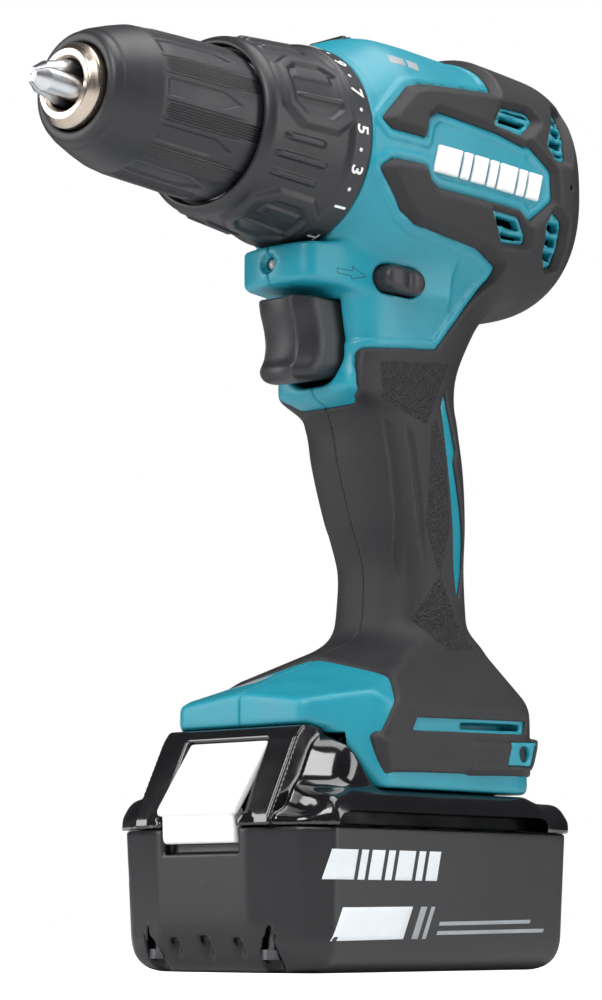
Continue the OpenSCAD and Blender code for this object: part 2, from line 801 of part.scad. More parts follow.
module battery_screw_places() {
    for (x = [-pack_half_l + 6.5, pack_half_l - 4.8], y = [-20, 20]) translate([x, y, 0])
        children();
}

module battery_lower_case() color([0.12, 0.12, 0.13]) {
    difference() {
        union() {
            pack_block(0, 2, 5);
            pack_block(2, 4, 3);
            pack_block(4, 15, 1.5);
            pack_block(15, seam_z);
        }
        cell_bay(2.4, seam_z + 1);
        button_pocket();
        battery_screw_places() {
            translate([0, 0, -1]) cylinder(h = 60, r = 1.5);
            translate([0, 0, -1]) cylinder(h = 7, r = 3.3);
        }
    }
}

module battery_upper_case() color([0.12, 0.12, 0.13]) {
    difference() {
        union() {
            pack_block(seam_z, ledge_z, 0.8);
            block([tower_front_x, -neck_half_w, ledge_z - 1], [tower_rear_x, neck_half_w, tower_z]);
            block([tower_front_x, -head_half_w, head_z], [tower_rear_x, head_half_w, tower_z]);
            across(-head_half_w, head_half_w, [[-pack_half_l + 1, ledge_z - 1],
                [-pack_half_l + 1, ledge_z - 4], [tower_front_x + 1, ledge_z - 4],
                [tower_front_x + 1, tower_z], [tower_front_x - 1, tower_z]]);
        }
        cell_bay(seam_z - 1, ledge_z - 2.4);
        button_pocket();
        block([tower_front_x + 6, -neck_half_w + wall, ledge_z - 4],
              [tower_rear_x - 6, neck_half_w - wall, tower_z - 9.5]);
        block([-8, -17, tower_z - 5], [tower_rear_x + 1, 17, tower_z + 1]);
        battery_screw_places() translate([0, 0, seam_z - 1]) cylinder(h = 5, r = 1.5);
        block([pack_half_l - 3.3, -3.4, seam_z + 1], [pack_half_l + 1, 3.4, seam_z + 5.2]);
    }
}

module cells() color([0.2, 0.45, 0.3]) {
    for (row = cell_rows_z) for (k = [0:cell_count - 1])
        pin_y(first_cell_x + cell_pitch * k, row, cell_r, -cell_l / 2, cell_l / 2);
}

module battery_board() color([0.1, 0.35, 0.2]) {
    block([tower_front_x + 8, -18, tower_z - 13], [tower_rear_x - 8, 18, tower_z - 11.4]);
}

module battery_terminals() color([0.8, 0.65, 0.3]) {
    for (y = [-10, 10]) for (side = [-1, 1])
        block([0, y + side * 1.2 - 0.4, tower_z - 5], [12, y + side * 1.2 + 0.4, tower_z - 1]);
}

module battery_screws() color("dimgray") {
    battery_screw_places() {
        difference() {
            translate([0, 0, 3.5]) cylinder(h = 2.5, r = 3);
            translate([0, 0, 3]) cylinder(h = 1.7, r = 1.2);
        }
        translate([0, 0, 5.9]) cylinder(h = seam_z - 3, r = 1.5);
    }
}

module release_button() color("whitesmoke") {
    across(-button_half_w, button_half_w, [[button_front_x, button_low_z],
        [button_front_x, 39.5], [-49.5, 59], [button_rear_x, 59], [button_rear_x, button_low_z]]);
}

module button_spring() color("silver") {
    translate([-53, 0, pocket_low_z]) coil(4, 3.2, 0.45, button_low_z - pocket_low_z);
}

module gauge_button() color([0.3, 0.3, 0.32]) {
    block([pack_half_l - 3.3 + 1, -3, seam_z + 1.4], [pack_half_l - 0.2, 3, seam_z + 4.8]);
}

// ---------------------------------------------------------------- output

housing_left();
housing_right();
overmould_left();
overmould_right();
side_marks();
housing_screws();
hook_insert_left();
hook_insert_right();
led_lens();
switch_body();
gear_case();
gear_case_cover();
ring_gear_rear();
spindle_bearings();
clutch_washer();
hammer_cam_fixed();
stator();
windings();
motor_bearings();
controller_board();
terminal_block();
spindle();
chuck_body();
nose_ring();
hammer_cam_turning();
chuck_sleeve();
jaw_nut();
jaw_1();
jaw_2();
jaw_3();
clutch_ring();
spring_retainer();
clutch_spring();
carrier_rear();
planet_front_1();
planet_front_2();
planet_front_3();
planet_rear_1();
planet_rear_2();
planet_rear_3();
rotor();
motor_pinion();
fan();
ring_gear_front();
shift_wire();
speed_selector();
trigger();
trigger_plunger();
trigger_spring();
direction_selector();
battery_lower_case();
battery_upper_case();
cells();
battery_board();
battery_terminals();
battery_screws();
release_button();
button_spring();
gauge_button();
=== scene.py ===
"""A cordless drill driver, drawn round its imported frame.

Shapes are worked out in millimetres and placed in metres. The moulded shells are
signed fields (negative inside) that skin() turns into meshes; the turned pieces are
profiles carried round the spindle with a relief that depends on place and angle.
"""
import json
import math
import bpy
import numpy as np
from mathutils import Matrix, Vector

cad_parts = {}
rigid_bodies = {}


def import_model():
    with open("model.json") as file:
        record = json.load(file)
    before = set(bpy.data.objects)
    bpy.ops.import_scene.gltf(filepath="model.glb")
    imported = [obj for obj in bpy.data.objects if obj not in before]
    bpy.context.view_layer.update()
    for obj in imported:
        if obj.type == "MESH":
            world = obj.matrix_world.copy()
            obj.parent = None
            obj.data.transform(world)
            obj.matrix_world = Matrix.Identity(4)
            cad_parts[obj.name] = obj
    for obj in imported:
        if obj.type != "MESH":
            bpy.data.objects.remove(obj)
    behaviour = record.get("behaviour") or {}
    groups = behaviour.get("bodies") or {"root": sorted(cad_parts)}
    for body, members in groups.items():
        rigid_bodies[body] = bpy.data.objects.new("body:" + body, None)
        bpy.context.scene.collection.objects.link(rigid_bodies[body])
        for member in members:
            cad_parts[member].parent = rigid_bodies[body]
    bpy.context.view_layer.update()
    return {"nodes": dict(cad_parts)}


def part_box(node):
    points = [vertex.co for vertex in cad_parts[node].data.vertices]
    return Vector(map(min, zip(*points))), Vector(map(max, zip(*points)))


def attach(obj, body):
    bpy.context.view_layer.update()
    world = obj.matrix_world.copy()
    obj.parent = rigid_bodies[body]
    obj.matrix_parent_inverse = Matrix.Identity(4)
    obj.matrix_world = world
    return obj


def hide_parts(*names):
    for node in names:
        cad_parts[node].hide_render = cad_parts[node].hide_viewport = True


for leftover in list(bpy.data.objects):
    bpy.data.objects.remove(leftover)
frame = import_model()

MM = 0.001


def scene_object(name, data):
    """Puts a new object that holds this data into the scene."""
    made = bpy.data.objects.new(name, data)
    bpy.context.scene.collection.objects.link(made)
    return made


# ------------------------------------------------------------------ camera

camera_data = bpy.data.cameras.new("camera")
camera_data.lens = 104.94
camera_data.sensor_width = 36
camera_data.clip_end = 20
camera = scene_object("camera", camera_data)
look = Vector((0.7334, 0.6643, 0.1440)).normalized()
side = look.cross(Vector((0, 0, 1))).normalized()
top = side.cross(look)
camera.matrix_world = Matrix.Translation((-0.6001, -0.5270, 0.0124)) @ Matrix(
    (side, top, -look)).transposed().to_4x4()
bpy.context.scene.camera = camera
bpy.context.scene.view_settings.view_transform = "Standard"


# ------------------------------------------------------------------ places taken from the frame

def span(node):
    """A node's lowest and highest corner, in millimetres."""
    low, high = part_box(node)
    return np.array(low) * 1000, np.array(high) * 1000


ring_low, ring_high = span("nose_ring")
AXIS_Z = (ring_low[2] + ring_high[2]) / 2
NOSE_X = ring_low[0]
sleeve_low, sleeve_high = span("chuck_sleeve")
clutch_low, clutch_high = span("clutch_ring")
case_low, case_high = span("battery_lower_case")
deck_low, deck_high = span("battery_upper_case")
body_high = span("housing_left")[1]
trigger_low, trigger_high = span("trigger")
select_high = span("direction_selector")[1]
speed_low, speed_high = span("speed_selector")
button_low, button_high = span("release_button")
hook_low, hook_high = span("hook_insert_left")
HOOK_X, HOOK_Z = (hook_low[0] + hook_high[0]) / 2, (hook_low[2] + hook_high[2]) / 2


# ------------------------------------------------------------------ field tools

def soft_max(a, b, k):
    """The larger of two fields, rounded over a band k wide: max plus k h (1 - h)."""
    h = np.clip(0.5 + 0.5 * (a - b) / k, 0, 1)
    return b + (a - b) * h + k * h * (1 - h)


def soft_min(a, b, k):
    """The smaller of two fields, rounded over a band k wide."""
    return -soft_max(-a, -b, k)


def ramp(x, a, b):
    """Smooth step: 0 before a, 1 after b, with level ends."""
    t = np.clip((x - a) / (b - a), 0, 1)
    return t * t * (3 - 2 * t)


def curve(at, knots):
    """A smooth line through (place, value) knots: a cubic between neighbours whose slope
    at each knot is the mean slope of the knots beside it, level beyond the ends."""
    k = np.asarray(knots, float)
    place, value = k[:, 0], k[:, 1]
    slope = np.gradient(value, place)
    i = np.clip(np.searchsorted(place, at) - 1, 0, len(place) - 2)
    h = place[i + 1] - place[i]
    t = np.clip((at - place[i]) / h, 0, 1)
    return (value[i] * (1 + 2 * t) * (1 - t) ** 2 + slope[i] * h * t * (1 - t) ** 2
            + value[i + 1] * t * t * (3 - 2 * t) + slope[i + 1] * h * t * t * (t - 1))


def cuboid(x, y, z, low, high):
    """Field of a box between two corners: the largest distance past any face."""
    return np.maximum(np.maximum(np.maximum(low[0] - x, x - high[0]),
                                 np.maximum(low[1] - y, y - high[1])),
                      np.maximum(low[2] - z, z - high[2]))


class Template:
    """Signed distance to a closed outline in a plane, negative inside, tabulated every
    quarter millimetre and read by bilinear blending. soften blurs the table so that the
    outline's corners are rounded by about that many millimetres."""

    STEP = 0.25

    def __init__(self, corners, soften=0.8, margin=6):
        p = np.asarray(corners, float)
        self.low = p.min(0) - margin
        size = np.ceil((p.max(0) + margin - self.low) / self.STEP).astype(int) + 1
        u = (self.low[0] + self.STEP * np.arange(size[0]))[:, None]
        v = (self.low[1] + self.STEP * np.arange(size[1]))[None, :]
        gap = np.full(size, 1e9)
        odd = np.zeros(size, bool)
        for (au, av), (bu, bv) in zip(p, np.roll(p, -1, 0)):
            eu, ev = bu - au, bv - av
            t = np.clip(((u - au) * eu + (v - av) * ev) / (eu * eu + ev * ev), 0, 1)
            gap = np.minimum(gap, np.hypot(u - au - t * eu, v - av - t * ev))
            if ev:
                odd ^= ((v >= av) != (v >= bv)) & (u < au + (v - av) / ev * eu)
        table = np.where(odd, -gap, gap)
        for _ in range(int(round((soften / self.STEP) ** 2))):
            edge = np.pad(table, 1, mode="edge")
            table = (edge[1:-1, 1:-1] * 2 + edge[:-2, 1:-1] + edge[2:, 1:-1]
                     + edge[1:-1, :-2] + edge[1:-1, 2:]) / 6
        self.table = table

    def __call__(self, u, v):
        u, v = np.broadcast_arrays(u, v)
        rows, columns = self.table.shape
        a = (u - self.low[0]) / self.STEP
        b = (v - self.low[1]) / self.STEP
        a2, b2 = np.clip(a, 0, rows - 1.001), np.clip(b, 0, columns - 1.001)
        i, j = a2.astype(int), b2.astype(int)
        s, t = a2 - i, b2 - j
        d = self.table
        inner = ((d[i, j] * (1 - s) + d[i + 1, j] * s) * (1 - t)
                 + (d[i, j + 1] * (1 - s) + d[i + 1, j + 1] * s) * t)
        return inner + self.STEP * np.hypot(a - a2, b - b2)


def skin(field, low, high, step, settle=2):
    """Meshes the zero surface of a field. The field is read on a grid; each grid cell that
    the surface crosses gets one point, the mean of the crossings on its edges, and each
    crossed grid edge gets one square between its four cells. The points are then slid
    along the field's slope until they lie on the surface. Returns points and squares."""
    axes = [np.arange(a - 1.5 * step, b + 2.5 * step, step) for a, b in zip(low, high)]
    x, y, z = axes[0][:, None, None], axes[1][None, :, None], axes[2][None, None, :]
    shape = tuple(len(a) for a in axes)
    value = np.broadcast_to(field(x, y, z), shape).astype(np.float32)
    inside = value < 0
    count = np.zeros([n - 1 for n in shape], np.uint8)
    corners = [(i, j, k) for i in (0, 1) for j in (0, 1) for k in (0, 1)]
    cut = lambda a, c: a[c[0]:shape[0] - 1 + c[0], c[1]:shape[1] - 1 + c[1],
                         c[2]:shape[2] - 1 + c[2]]
    for c in corners:
        count += cut(inside, c)
    cells = np.nonzero((count > 0) & (count < 8))
    number = np.full(count.shape, -1, np.int64)
    number[cells] = np.arange(len(cells[0]))
    base = np.stack(cells, 1)
    total = np.zeros((len(base), 3))
    hits = np.zeros(len(base))
    reading = {c: value[base[:, 0] + c[0], base[:, 1] + c[1], base[:, 2] + c[2]]
               for c in corners}
    for c in corners:
        for axis in range(3):
            if c[axis]:
                continue
            far = tuple(1 if n == axis else c[n] for n in range(3))
            a, b = reading[c], reading[far]
            crossed = (a < 0) != (b < 0)
            t = np.where(crossed, a / np.where(crossed, a - b, 1), 0)
            point = np.tile(np.array(c, float), (len(base), 1))
            point[:, axis] = t
            total += point * crossed[:, None]
            hits += crossed
    points = np.stack([axes[n][base[:, n]] for n in range(3)], 1) \
        + total / hits[:, None] * step
    squares = []
    for axis in range(3):
        b_axis, c_axis = (axis + 1) % 3, (axis + 2) % 3
        near = [slice(None)] * 3
        far = [slice(None)] * 3
        near[axis], far[axis] = slice(0, -1), slice(1, None)
        change = inside[tuple(near)] != inside[tuple(far)]
        where = list(np.nonzero(change))
        good = (where[b_axis] > 0) & (where[c_axis] > 0) \
            & (where[b_axis] < shape[b_axis] - 1) & (where[c_axis] < shape[c_axis] - 1)
        where = [w[good] for w in where]
        outward = inside[tuple(near)][tuple(where)]

        def cell(db, dc):
            at = list(where)
            at[b_axis] = at[b_axis] - db
            at[c_axis] = at[c_axis] - dc
            return number[tuple(at)]
        quad = np.stack([cell(1, 1), cell(0, 1), cell(0, 0), cell(1, 0)], 1)
        squares.append(np.where(outward[:, None], quad, quad[:, ::-1]))
    squares = np.concatenate(squares)
    h = 0.12 * step
    corners4 = np.array([(1, -1, -1), (-1, -1, 1), (-1, 1, -1), (1, 1, 1)], float)
    for _ in range(settle):
        slope = np.zeros_like(points)
        mean = np.zeros(len(points))
        for c in corners4:
            f = field(*(points + h * c).T)
            slope += c * f[:, None]
            mean += f / 4
        slope /= 4 * h
        size = np.maximum((slope ** 2).sum(1), 0.15)
        move = mean / size
        length = np.abs(move) * np.sqrt(size)
        move *= np.minimum(1, 0.5 * step / np.maximum(length, 1e-9))
        points = points - slope * move[:, None]
    return points, squares


FULL_BEND = 0.12


def mirrored(points, squares):
    """The same mesh on the other side of the middle plane, its faces turned to point out."""
    return points * (1, -1, 1), squares[:, ::-1]


def piece(name, body, slot, points, faces, replaces=(), look=None, **masks):
    """Puts points (millimetres) and faces into a mesh object that rides on a body. Its
    finish has the slot's name unless another look is given."""
    mesh = bpy.data.meshes.new(name)
    points = np.ascontiguousarray(points, np.float32) * MM
    faces = np.ascontiguousarray(faces, np.int32)
    corner_count = faces.shape[1]
    mesh.vertices.add(len(points))
    mesh.vertices.foreach_set("co", points.ravel())
    mesh.loops.add(faces.size)
    mesh.loops.foreach_set("vertex_index", faces.ravel())
    mesh.polygons.add(len(faces))
    mesh.polygons.foreach_set("loop_start", np.arange(0, faces.size, corner_count))
    mesh.polygons.foreach_set("loop_total", np.full(len(faces), corner_count))
    mesh.polygons.foreach_set("use_smooth", np.ones(len(faces), bool))
    mesh.update(calc_edges=True)
    mesh.validate()
    for mask, values in masks.items():
        layer = mesh.attributes.new(mask, "FLOAT", "POINT")
        layer.data.foreach_set("value", np.ascontiguousarray(values, np.float32))
    mesh.materials.append(FINISHES[look or slot])
    made = scene_object(name, mesh)
    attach(made, body)
    if replaces:
        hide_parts(*replaces)


def crease(points, faces):
    """How sharply the surface bends at each point: the distance from the point to the mean
    of its neighbours, along the outward normal; about 0 on flats, 1 on an outer edge."""
    n = len(points)
    a, b, c, d = (points[faces[:, k]] for k in range(4))
    normal = np.cross(c - a, d - b)
    total = np.zeros((n, 3))
    around = np.zeros((n, 3))
    hits = np.zeros(n)
    for k in range(4):
        for axis in range(3):
            total[:, axis] += np.bincount(faces[:, k], normal[:, axis], n)
            around[:, axis] += np.bincount(faces[:, k],
                                           points[faces[:, (k + 1) % 4], axis]
                                           + points[faces[:, (k + 3) % 4], axis], n)
        hits += np.bincount(faces[:, k], None, n) * 2
    total /= np.maximum(np.linalg.norm(total, axis=1, keepdims=True), 1e-9)
    bend = ((points - around / np.maximum(hits, 1)[:, None]) * total).sum(1)
    return np.clip(bend / FULL_BEND, -1, 1)


def shell(name, body_name, slot, mesh, replaced, look=None):
    """A piece made from a mesh of squares, with its edge mask, in place of one node."""
    piece(name, body_name, slot, *mesh, [replaced], look, edge=crease(*mesh))


def halves(name, slot, mesh, node, **masks):
    """A left half and its mirror image as two pieces of the tool."""
    edge = crease(*mesh)
    for side, half_mesh in (("left", mesh), ("right", mirrored(*mesh))):
        piece(f"{name}_{side}", "tool", slot, *half_mesh, [f"{node}_{side}"], edge=edge,
              **masks)


# ------------------------------------------------------------------ materials

def node_group(name, inputs, outputs):
    """A shader group with named number sockets; returns it with its two ends."""
    group = bpy.data.node_groups.new(name, "ShaderNodeTree")
    for label, value in inputs.items():
        group.interface.new_socket(name=label, in_out="INPUT",
                                   socket_type="NodeSocketFloat").default_value = value
    for label in outputs:
        group.interface.new_socket(name=label, in_out="OUTPUT", socket_type="NodeSocketFloat")
    return group, group.nodes.new("NodeGroupInput"), group.nodes.new("NodeGroupOutput")


def shader_node(tree, kind, inputs, **settings):
    """A shader node with its settings made; each input, by name or number, is linked to a
    socket or set to a value."""
    made = tree.nodes.new("ShaderNode" + kind)
    for setting, value in settings.items():
        setattr(made, setting, value)
    for socket, value in inputs.items():
        if isinstance(value, bpy.types.NodeSocket):
            tree.links.new(value, made.inputs[socket])
        else:
            made.inputs[socket].default_value = value
    return made


def math_node(tree, operation, a, b, clamp=False):
    """The output of one Math node."""
    return shader_node(tree, "Math", {0: a, 1: b}, operation=operation,
                       use_clamp=clamp).outputs[0]


def noise_node(tree, where, scale, detail, rough=0.55):
    """The value of a Noise texture read at a place."""
    return shader_node(tree, "TexNoise", {"Vector": where, "Scale": scale, "Detail": detail,
                                          "Roughness": rough}).outputs[0]


def own_place(tree):
    """Coordinates in the object's own space."""
    return shader_node(tree, "TexCoord", {}).outputs["Object"]


def stored_mask(tree, name):
    """A mask that is stored on the mesh's points."""
    return shader_node(tree, "Attribute", {}, attribute_name=name).outputs["Fac"]


def make_moulded_grain():
    """Spark-eroded mould grain: fine noise plus a coarser mottle, as height and mottle."""
    group, ins, outs = node_group("moulded_grain", {"Scale": 2500.0}, ("Height", "Mottle"))
    where = own_place(group)
    group.links.new(noise_node(group, where, ins.outputs["Scale"], 2.0, 0.6),
                    outs.inputs["Height"])
    group.links.new(noise_node(group, where, 85.0, 4.0, 0.62), outs.inputs["Mottle"])
    return group


def make_edge_wear_and_highlight():
    """Handling wear plus a painted highlight on outer edges: the stored edge mask, broken up by
    noise, from 0 to 1.
    """
    group, ins, outs = node_group("edge_wear_and_highlight", {"Amount": 0.5}, ("Wear",))
    mask = math_node(group, "MAXIMUM", stored_mask(group, "edge"), 0.0)
    edge = math_node(group, "MULTIPLY", mask, ins.outputs["Amount"])
    broken = noise_node(group, own_place(group), 400.0, 3.0)
    group.links.new(math_node(group, "MULTIPLY", edge, broken, True), outs.inputs["Wear"])
    return group


def make_leather_grain():
    """Pebbled grain pressed into the soft grip: cell walls between random pebbles."""
    group, ins, outs = node_group("leather_grain", {"Scale": 900.0}, ("Height",))
    where = own_place(group)
    shift = shader_node(group, "TexNoise", {"Scale": 500.0, "Vector": where})
    moved = shader_node(group, "VectorMath", {0: shift.outputs["Color"], 1: (0.0012,) * 3,
                                              2: where}, operation="MULTIPLY_ADD")
    cells = shader_node(group, "TexVoronoi", {"Vector": moved.outputs[0],
                                              "Scale": ins.outputs["Scale"]},
                        feature="DISTANCE_TO_EDGE")
    group.links.new(math_node(group, "MULTIPLY", cells.outputs["Distance"], 2.5, True),
                    outs.inputs["Height"])
    return group


def make_turning_marks():
    """Fine circles that a lathe leaves round the spindle: noise along the axis only."""
    group, ins, outs = node_group("turning_marks", {"Scale": 5000.0}, ("Height",))
    along = shader_node(group, "Mapping", {"Vector": own_place(group),
                                           "Scale": (1.0, 0.02, 0.02)}).outputs[0]
    group.links.new(noise_node(group, along, ins.outputs["Scale"], 3.0),
                    outs.inputs["Height"])
    return group


MOULDED_GRAIN = make_moulded_grain()
EDGE_WEAR_AND_HIGHLIGHT = make_edge_wear_and_highlight()
LEATHER_GRAIN = make_leather_grain()
TURNING_MARKS = make_turning_marks()


def place_group(tree, group, **values):
    """A group node with its inputs set."""
    made = tree.nodes.new("ShaderNodeGroup")
    made.node_tree = group
    for label, value in values.items():
        made.inputs[label].default_value = value
    return made


def colour_mix(tree, amount, a, b):
    """Blends two colours by a factor socket. Returns the colour output."""
    a, b = (c + (1,) if isinstance(c, tuple) else c for c in (a, b))
    return shader_node(tree, "Mix", {0: amount, 6: a, 7: b}, data_type="RGBA").outputs[2]


def spread(tree, value, low, high):
    """Maps a noise value from its usual 0.3 to 0.7 on to low to high."""
    return shader_node(tree, "MapRange", {0: value, 1: 0.3, 2: 0.7, 3: low,
                                          4: high}).outputs[0]


FINISHES = {}


def finish(name, colour, shade, roughness, grain=2500.0, depth=0.03, metallic=0.0, coat=0.0,
           wear=0.3, worn_and_highlight_colour=None, marks="mould", specular=0.5, extra=None):
    """One finish: two close colours mottled together, roughness that follows the mottle, wear and
    a painted highlight along the stored edges (a lighter colour blended in there), and a bump
    from mould grain or turning marks."""
    material = FINISHES[name] = bpy.data.materials.new(name)
    material.use_nodes = True
    tree = material.node_tree
    shader = tree.nodes["Principled BSDF"]
    shader.inputs["Metallic"].default_value = metallic
    shader.inputs["Coat Weight"].default_value = coat
    shader.inputs["Coat Roughness"].default_value = 0.04
    shader.inputs["Specular IOR Level"].default_value = specular
    texture = place_group(tree, MOULDED_GRAIN, Scale=grain)
    height, mottle = texture.outputs["Height"], texture.outputs["Mottle"]
    base = colour_mix(tree, spread(tree, mottle, 0.0, 1.0), colour, shade)
    worn_and_highlit_edge = place_group(tree, EDGE_WEAR_AND_HIGHLIGHT, Amount=wear).outputs["Wear"]
    # The edge colour is lighter than the base: it stands for real wear and also for a painted
    # highlight on outer edges.
    worn_and_highlight_colour = worn_and_highlight_colour or tuple(min(1, 1.7 * c + 0.03) for c in colour)
    base = colour_mix(tree, worn_and_highlit_edge, base, worn_and_highlight_colour)
    rough = spread(tree, mottle, roughness - 0.05, roughness + 0.05)
    if marks == "turned":
        height = place_group(tree, TURNING_MARKS, Scale=grain).outputs["Height"]
        rough = spread(tree, height, roughness - 0.07, roughness + 0.1)
    if extra:
        base, rough, height = extra(tree, base, rough, height)
    bump = shader_node(tree, "Bump", {"Strength": 1.0, "Distance": depth * MM,
                                      "Height": height}).outputs[0]
    for value, label in ((bump, "Normal"), (base, "Base Color"), (rough, "Roughness")):
        tree.links.new(value, shader.inputs[label])


def grip_texture(tree, base, rough, height):
    """Where the grip's patch mask is 1, the fine grain gives way to deeper pebbles."""
    pebble = place_group(tree, LEATHER_GRAIN, Scale=950.0).outputs["Height"]
    deep = math_node(tree, "MULTIPLY", pebble, 11.0)
    picked = shader_node(tree, "Mix", {0: stored_mask(tree, "patch"), 2: height, 3: deep})
    return base, rough, picked.outputs[0]


# Each worn colour below is lighter than its base: edge wear together with a painted edge
# highlight.
finish("teal_plastic", (0.007, 0.235, 0.315), (0.009, 0.265, 0.35), 0.42,
       grain=1500.0, depth=0.022, wear=0.35, worn_and_highlight_colour=(0.05, 0.36, 0.45))
finish("soft_grip", (0.016, 0.015, 0.017), (0.021, 0.020, 0.022), 0.6,
       grain=2600.0, depth=0.05, wear=0.55, worn_and_highlight_colour=(0.06, 0.058, 0.058),
       specular=0.4, extra=grip_texture)
finish("black_plastic", (0.012, 0.012, 0.015), (0.016, 0.016, 0.019), 0.45,
       grain=3000.0, depth=0.025, wear=0.45, worn_and_highlight_colour=(0.055, 0.055, 0.06))
finish("satin_black", (0.006, 0.006, 0.008), (0.009, 0.009, 0.011), 0.36,
       grain=2200.0, depth=0.008, wear=0.2, worn_and_highlight_colour=(0.03, 0.03, 0.033))
finish("gloss_black", (0.005, 0.005, 0.006), (0.007, 0.007, 0.008), 0.13,
       grain=400.0, depth=0.004, wear=0.1, coat=0.5, worn_and_highlight_colour=(0.02, 0.02, 0.022))
finish("white_plastic", (0.83, 0.84, 0.84), (0.88, 0.88, 0.88), 0.36,
       grain=1500.0, depth=0.01, wear=0.1, worn_and_highlight_colour=(0.9, 0.9, 0.9))
finish("white_print", (0.66, 0.70, 0.73), (0.72, 0.76, 0.79), 0.5,
       grain=2000.0, depth=0.01, wear=0.1, worn_and_highlight_colour=(0.8, 0.8, 0.8))
finish("grey_print", (0.27, 0.29, 0.31), (0.33, 0.35, 0.37), 0.45,
       grain=2000.0, depth=0.01, wear=0.1)
# Darker teal used for the painted shade along the embossed direction arrow's edges.
finish("painted_shade_teal", (0.006, 0.10, 0.14), (0.008, 0.12, 0.165), 0.45, grain=1500.0)
finish("grey_plastic", (0.07, 0.07, 0.075), (0.09, 0.09, 0.095), 0.5)
finish("steel", (0.50, 0.51, 0.53), (0.60, 0.61, 0.63), 0.33, grain=1800.0,
       depth=0.012, metallic=1.0, wear=0.2, worn_and_highlight_colour=(0.8, 0.8, 0.8))
finish("warm_steel", (0.44, 0.37, 0.31), (0.52, 0.45, 0.38), 0.26, grain=4000.0,
       depth=0.006, metallic=1.0, wear=0.3, worn_and_highlight_colour=(0.85, 0.8, 0.75),
       marks="turned")
finish("dark_steel", (0.10, 0.10, 0.11), (0.14, 0.14, 0.15), 0.4, metallic=1.0)
finish("cast_alloy", (0.42, 0.42, 0.43), (0.5, 0.5, 0.51), 0.55, metallic=1.0,
       grain=900.0, depth=0.08)
finish("copper", (0.42, 0.16, 0.07), (0.5, 0.2, 0.09), 0.3, metallic=1.0)
finish("contact_brass", (0.6, 0.45, 0.18), (0.66, 0.5, 0.22), 0.3,
       metallic=1.0)
finish("lens", (0.30, 0.31, 0.30), (0.4, 0.41, 0.40), 0.08, grain=300.0, coat=0.8)
finish("board", (0.02, 0.10, 0.05), (0.03, 0.13, 0.06), 0.4)
finish("cell_wrap", (0.05, 0.16, 0.10), (0.06, 0.19, 0.12), 0.3)
for node in frame["nodes"].values():
    for holder in node.material_slots:
        holder.material = FINISHES[holder.material.name.split(".")[0]]


# ------------------------------------------------------------------ outlines from the side (x, z)

COVER = Template([
    (33.5, 275), (33.5, 252), (31.6, 246.3), (-0.9, 241.6), (-7.1, 239.6), (-17.5, 228.6),
    (-14.4, 226.0), (-1.9, 225.6), (-0.4, 231.2), (3.5, 234.0), (28.5, 233.1), (41.3, 231.4),
    (43.2, 232.4), (53.4, 226.7), (54.1, 218.1), (44.5, 210.6), (39.6, 213.0), (4.2, 212.8),
    (0.4, 214.6), (-1.3, 218.2), (-13.8, 218.0), (-17.3, 215.2), (-7.6, 204.6),
    (-1.5, 202.2), (26.5, 200.2), (37.6, 197.0), (37.2, 194.0), (17.8, 171.1),
    (-10.2, 167.9), (-11.2, 163.0), (-11.2, 158.4), (-9.8, 155.4), (-6, 153.4), (-26, 152.4),
    (-26, 96), (-13.0, 83.4), (-14.2, 78.5), (-21.3, 70.2), (-22.8, 68.0), (-26.0, 61.8),
    (-24.6, 51.8),
    (36, 52.4), (60, 52.4), (90, 150), (90, 275)], soften=0.7)
STRIPE = Template([(23.8, 160.4), (21.6, 155.4), (24.2, 139.9), (27.3, 120.5),
                   (29.4, 101.7), (34.2, 111.4), (34.6, 118), (27.6, 140.4), (29.1, 144)],
                  soften=0.4)
VENTS = [Template(v, soften=0.6) for v in (
    [(33.8, 242.1), (46.0, 242.9), (48.0, 240.7), (40.8, 234.9), (27.8, 235.6)],
    [(60.7, 246.9), (64.8, 246.7), (61.3, 231.3), (55.8, 230.4), (52.4, 234.2)],
    [(27.2, 210.9), (39.4, 210.9), (44.3, 206.4), (44.7, 204.2), (34.5, 203.3)],
    [(55.0, 215.0), (59.6, 213.0), (61.0, 200.8), (57.7, 199.9), (54.1, 203.2),
     (52.3, 210.9)])]
VENT_SHIFT = (0.2, 1.8, 2.2, 0.6)
SLAT_PITCH = 3.9
SLOT_PANEL = Template([(-13, 66.1), (33.8, 67.3), (32.8, 63.7), (-15.0, 62.6)], soften=0.3)
SLOT = Template([(5.5, 65.7), (31.5, 66.4), (31.2, 64.5), (5.2, 63.9)], soften=0.2)
RAIL = Template([(-28.6, 60.7), (-27.0, 62.0), (31.2, 63.0), (40.0, 62.7), (37.0, 54.2),
                 (31.6, 51.9), (-25.5, 49.9)], soften=0.5)
HOOK_PAD = Template([(HOOK_X - 5.6, 61.3), (HOOK_X + 5.2, 61.7), (HOOK_X + 2.5, 54.9),
                     (HOOK_X - 7.9, 54.7)], soften=0.3)
FOOT = Template([(-42.6, 64), (-42.6, 100), (39.5, 100), (40, 84), (39.6, 73), (39, 70),
                 (39, 47.5), (-25.8, 47.5), (-32.6, 57.4), (-36.4, 62.6)], soften=0.8,
                margin=20)
GROOVES = [Template(g, soften=0.5) for g in (
    [(-0.6, 150.4), (2.6, 148.6), (9.6, 118.5), (11.3, 101.2), (6.9, 118.9)],
    [(6.6, 148.6), (9.5, 146.8), (14.8, 121.8), (16.6, 107.2), (12.2, 122.4)])]
PATCHES = [Template(p, soften=0.4) for p in (
    [(-5.3, 165.1), (10.7, 166.4), (25.2, 168.5), (14.6, 149.5), (-3.6, 154.8)],
    [(16.6, 149.8), (19.1, 152), (22.4, 144), (25.4, 121), (22.1, 109.3), (10.8, 95.4),
     (18.8, 86.6), (33.1, 87.7), (24, 104), (14.8, 122)])]

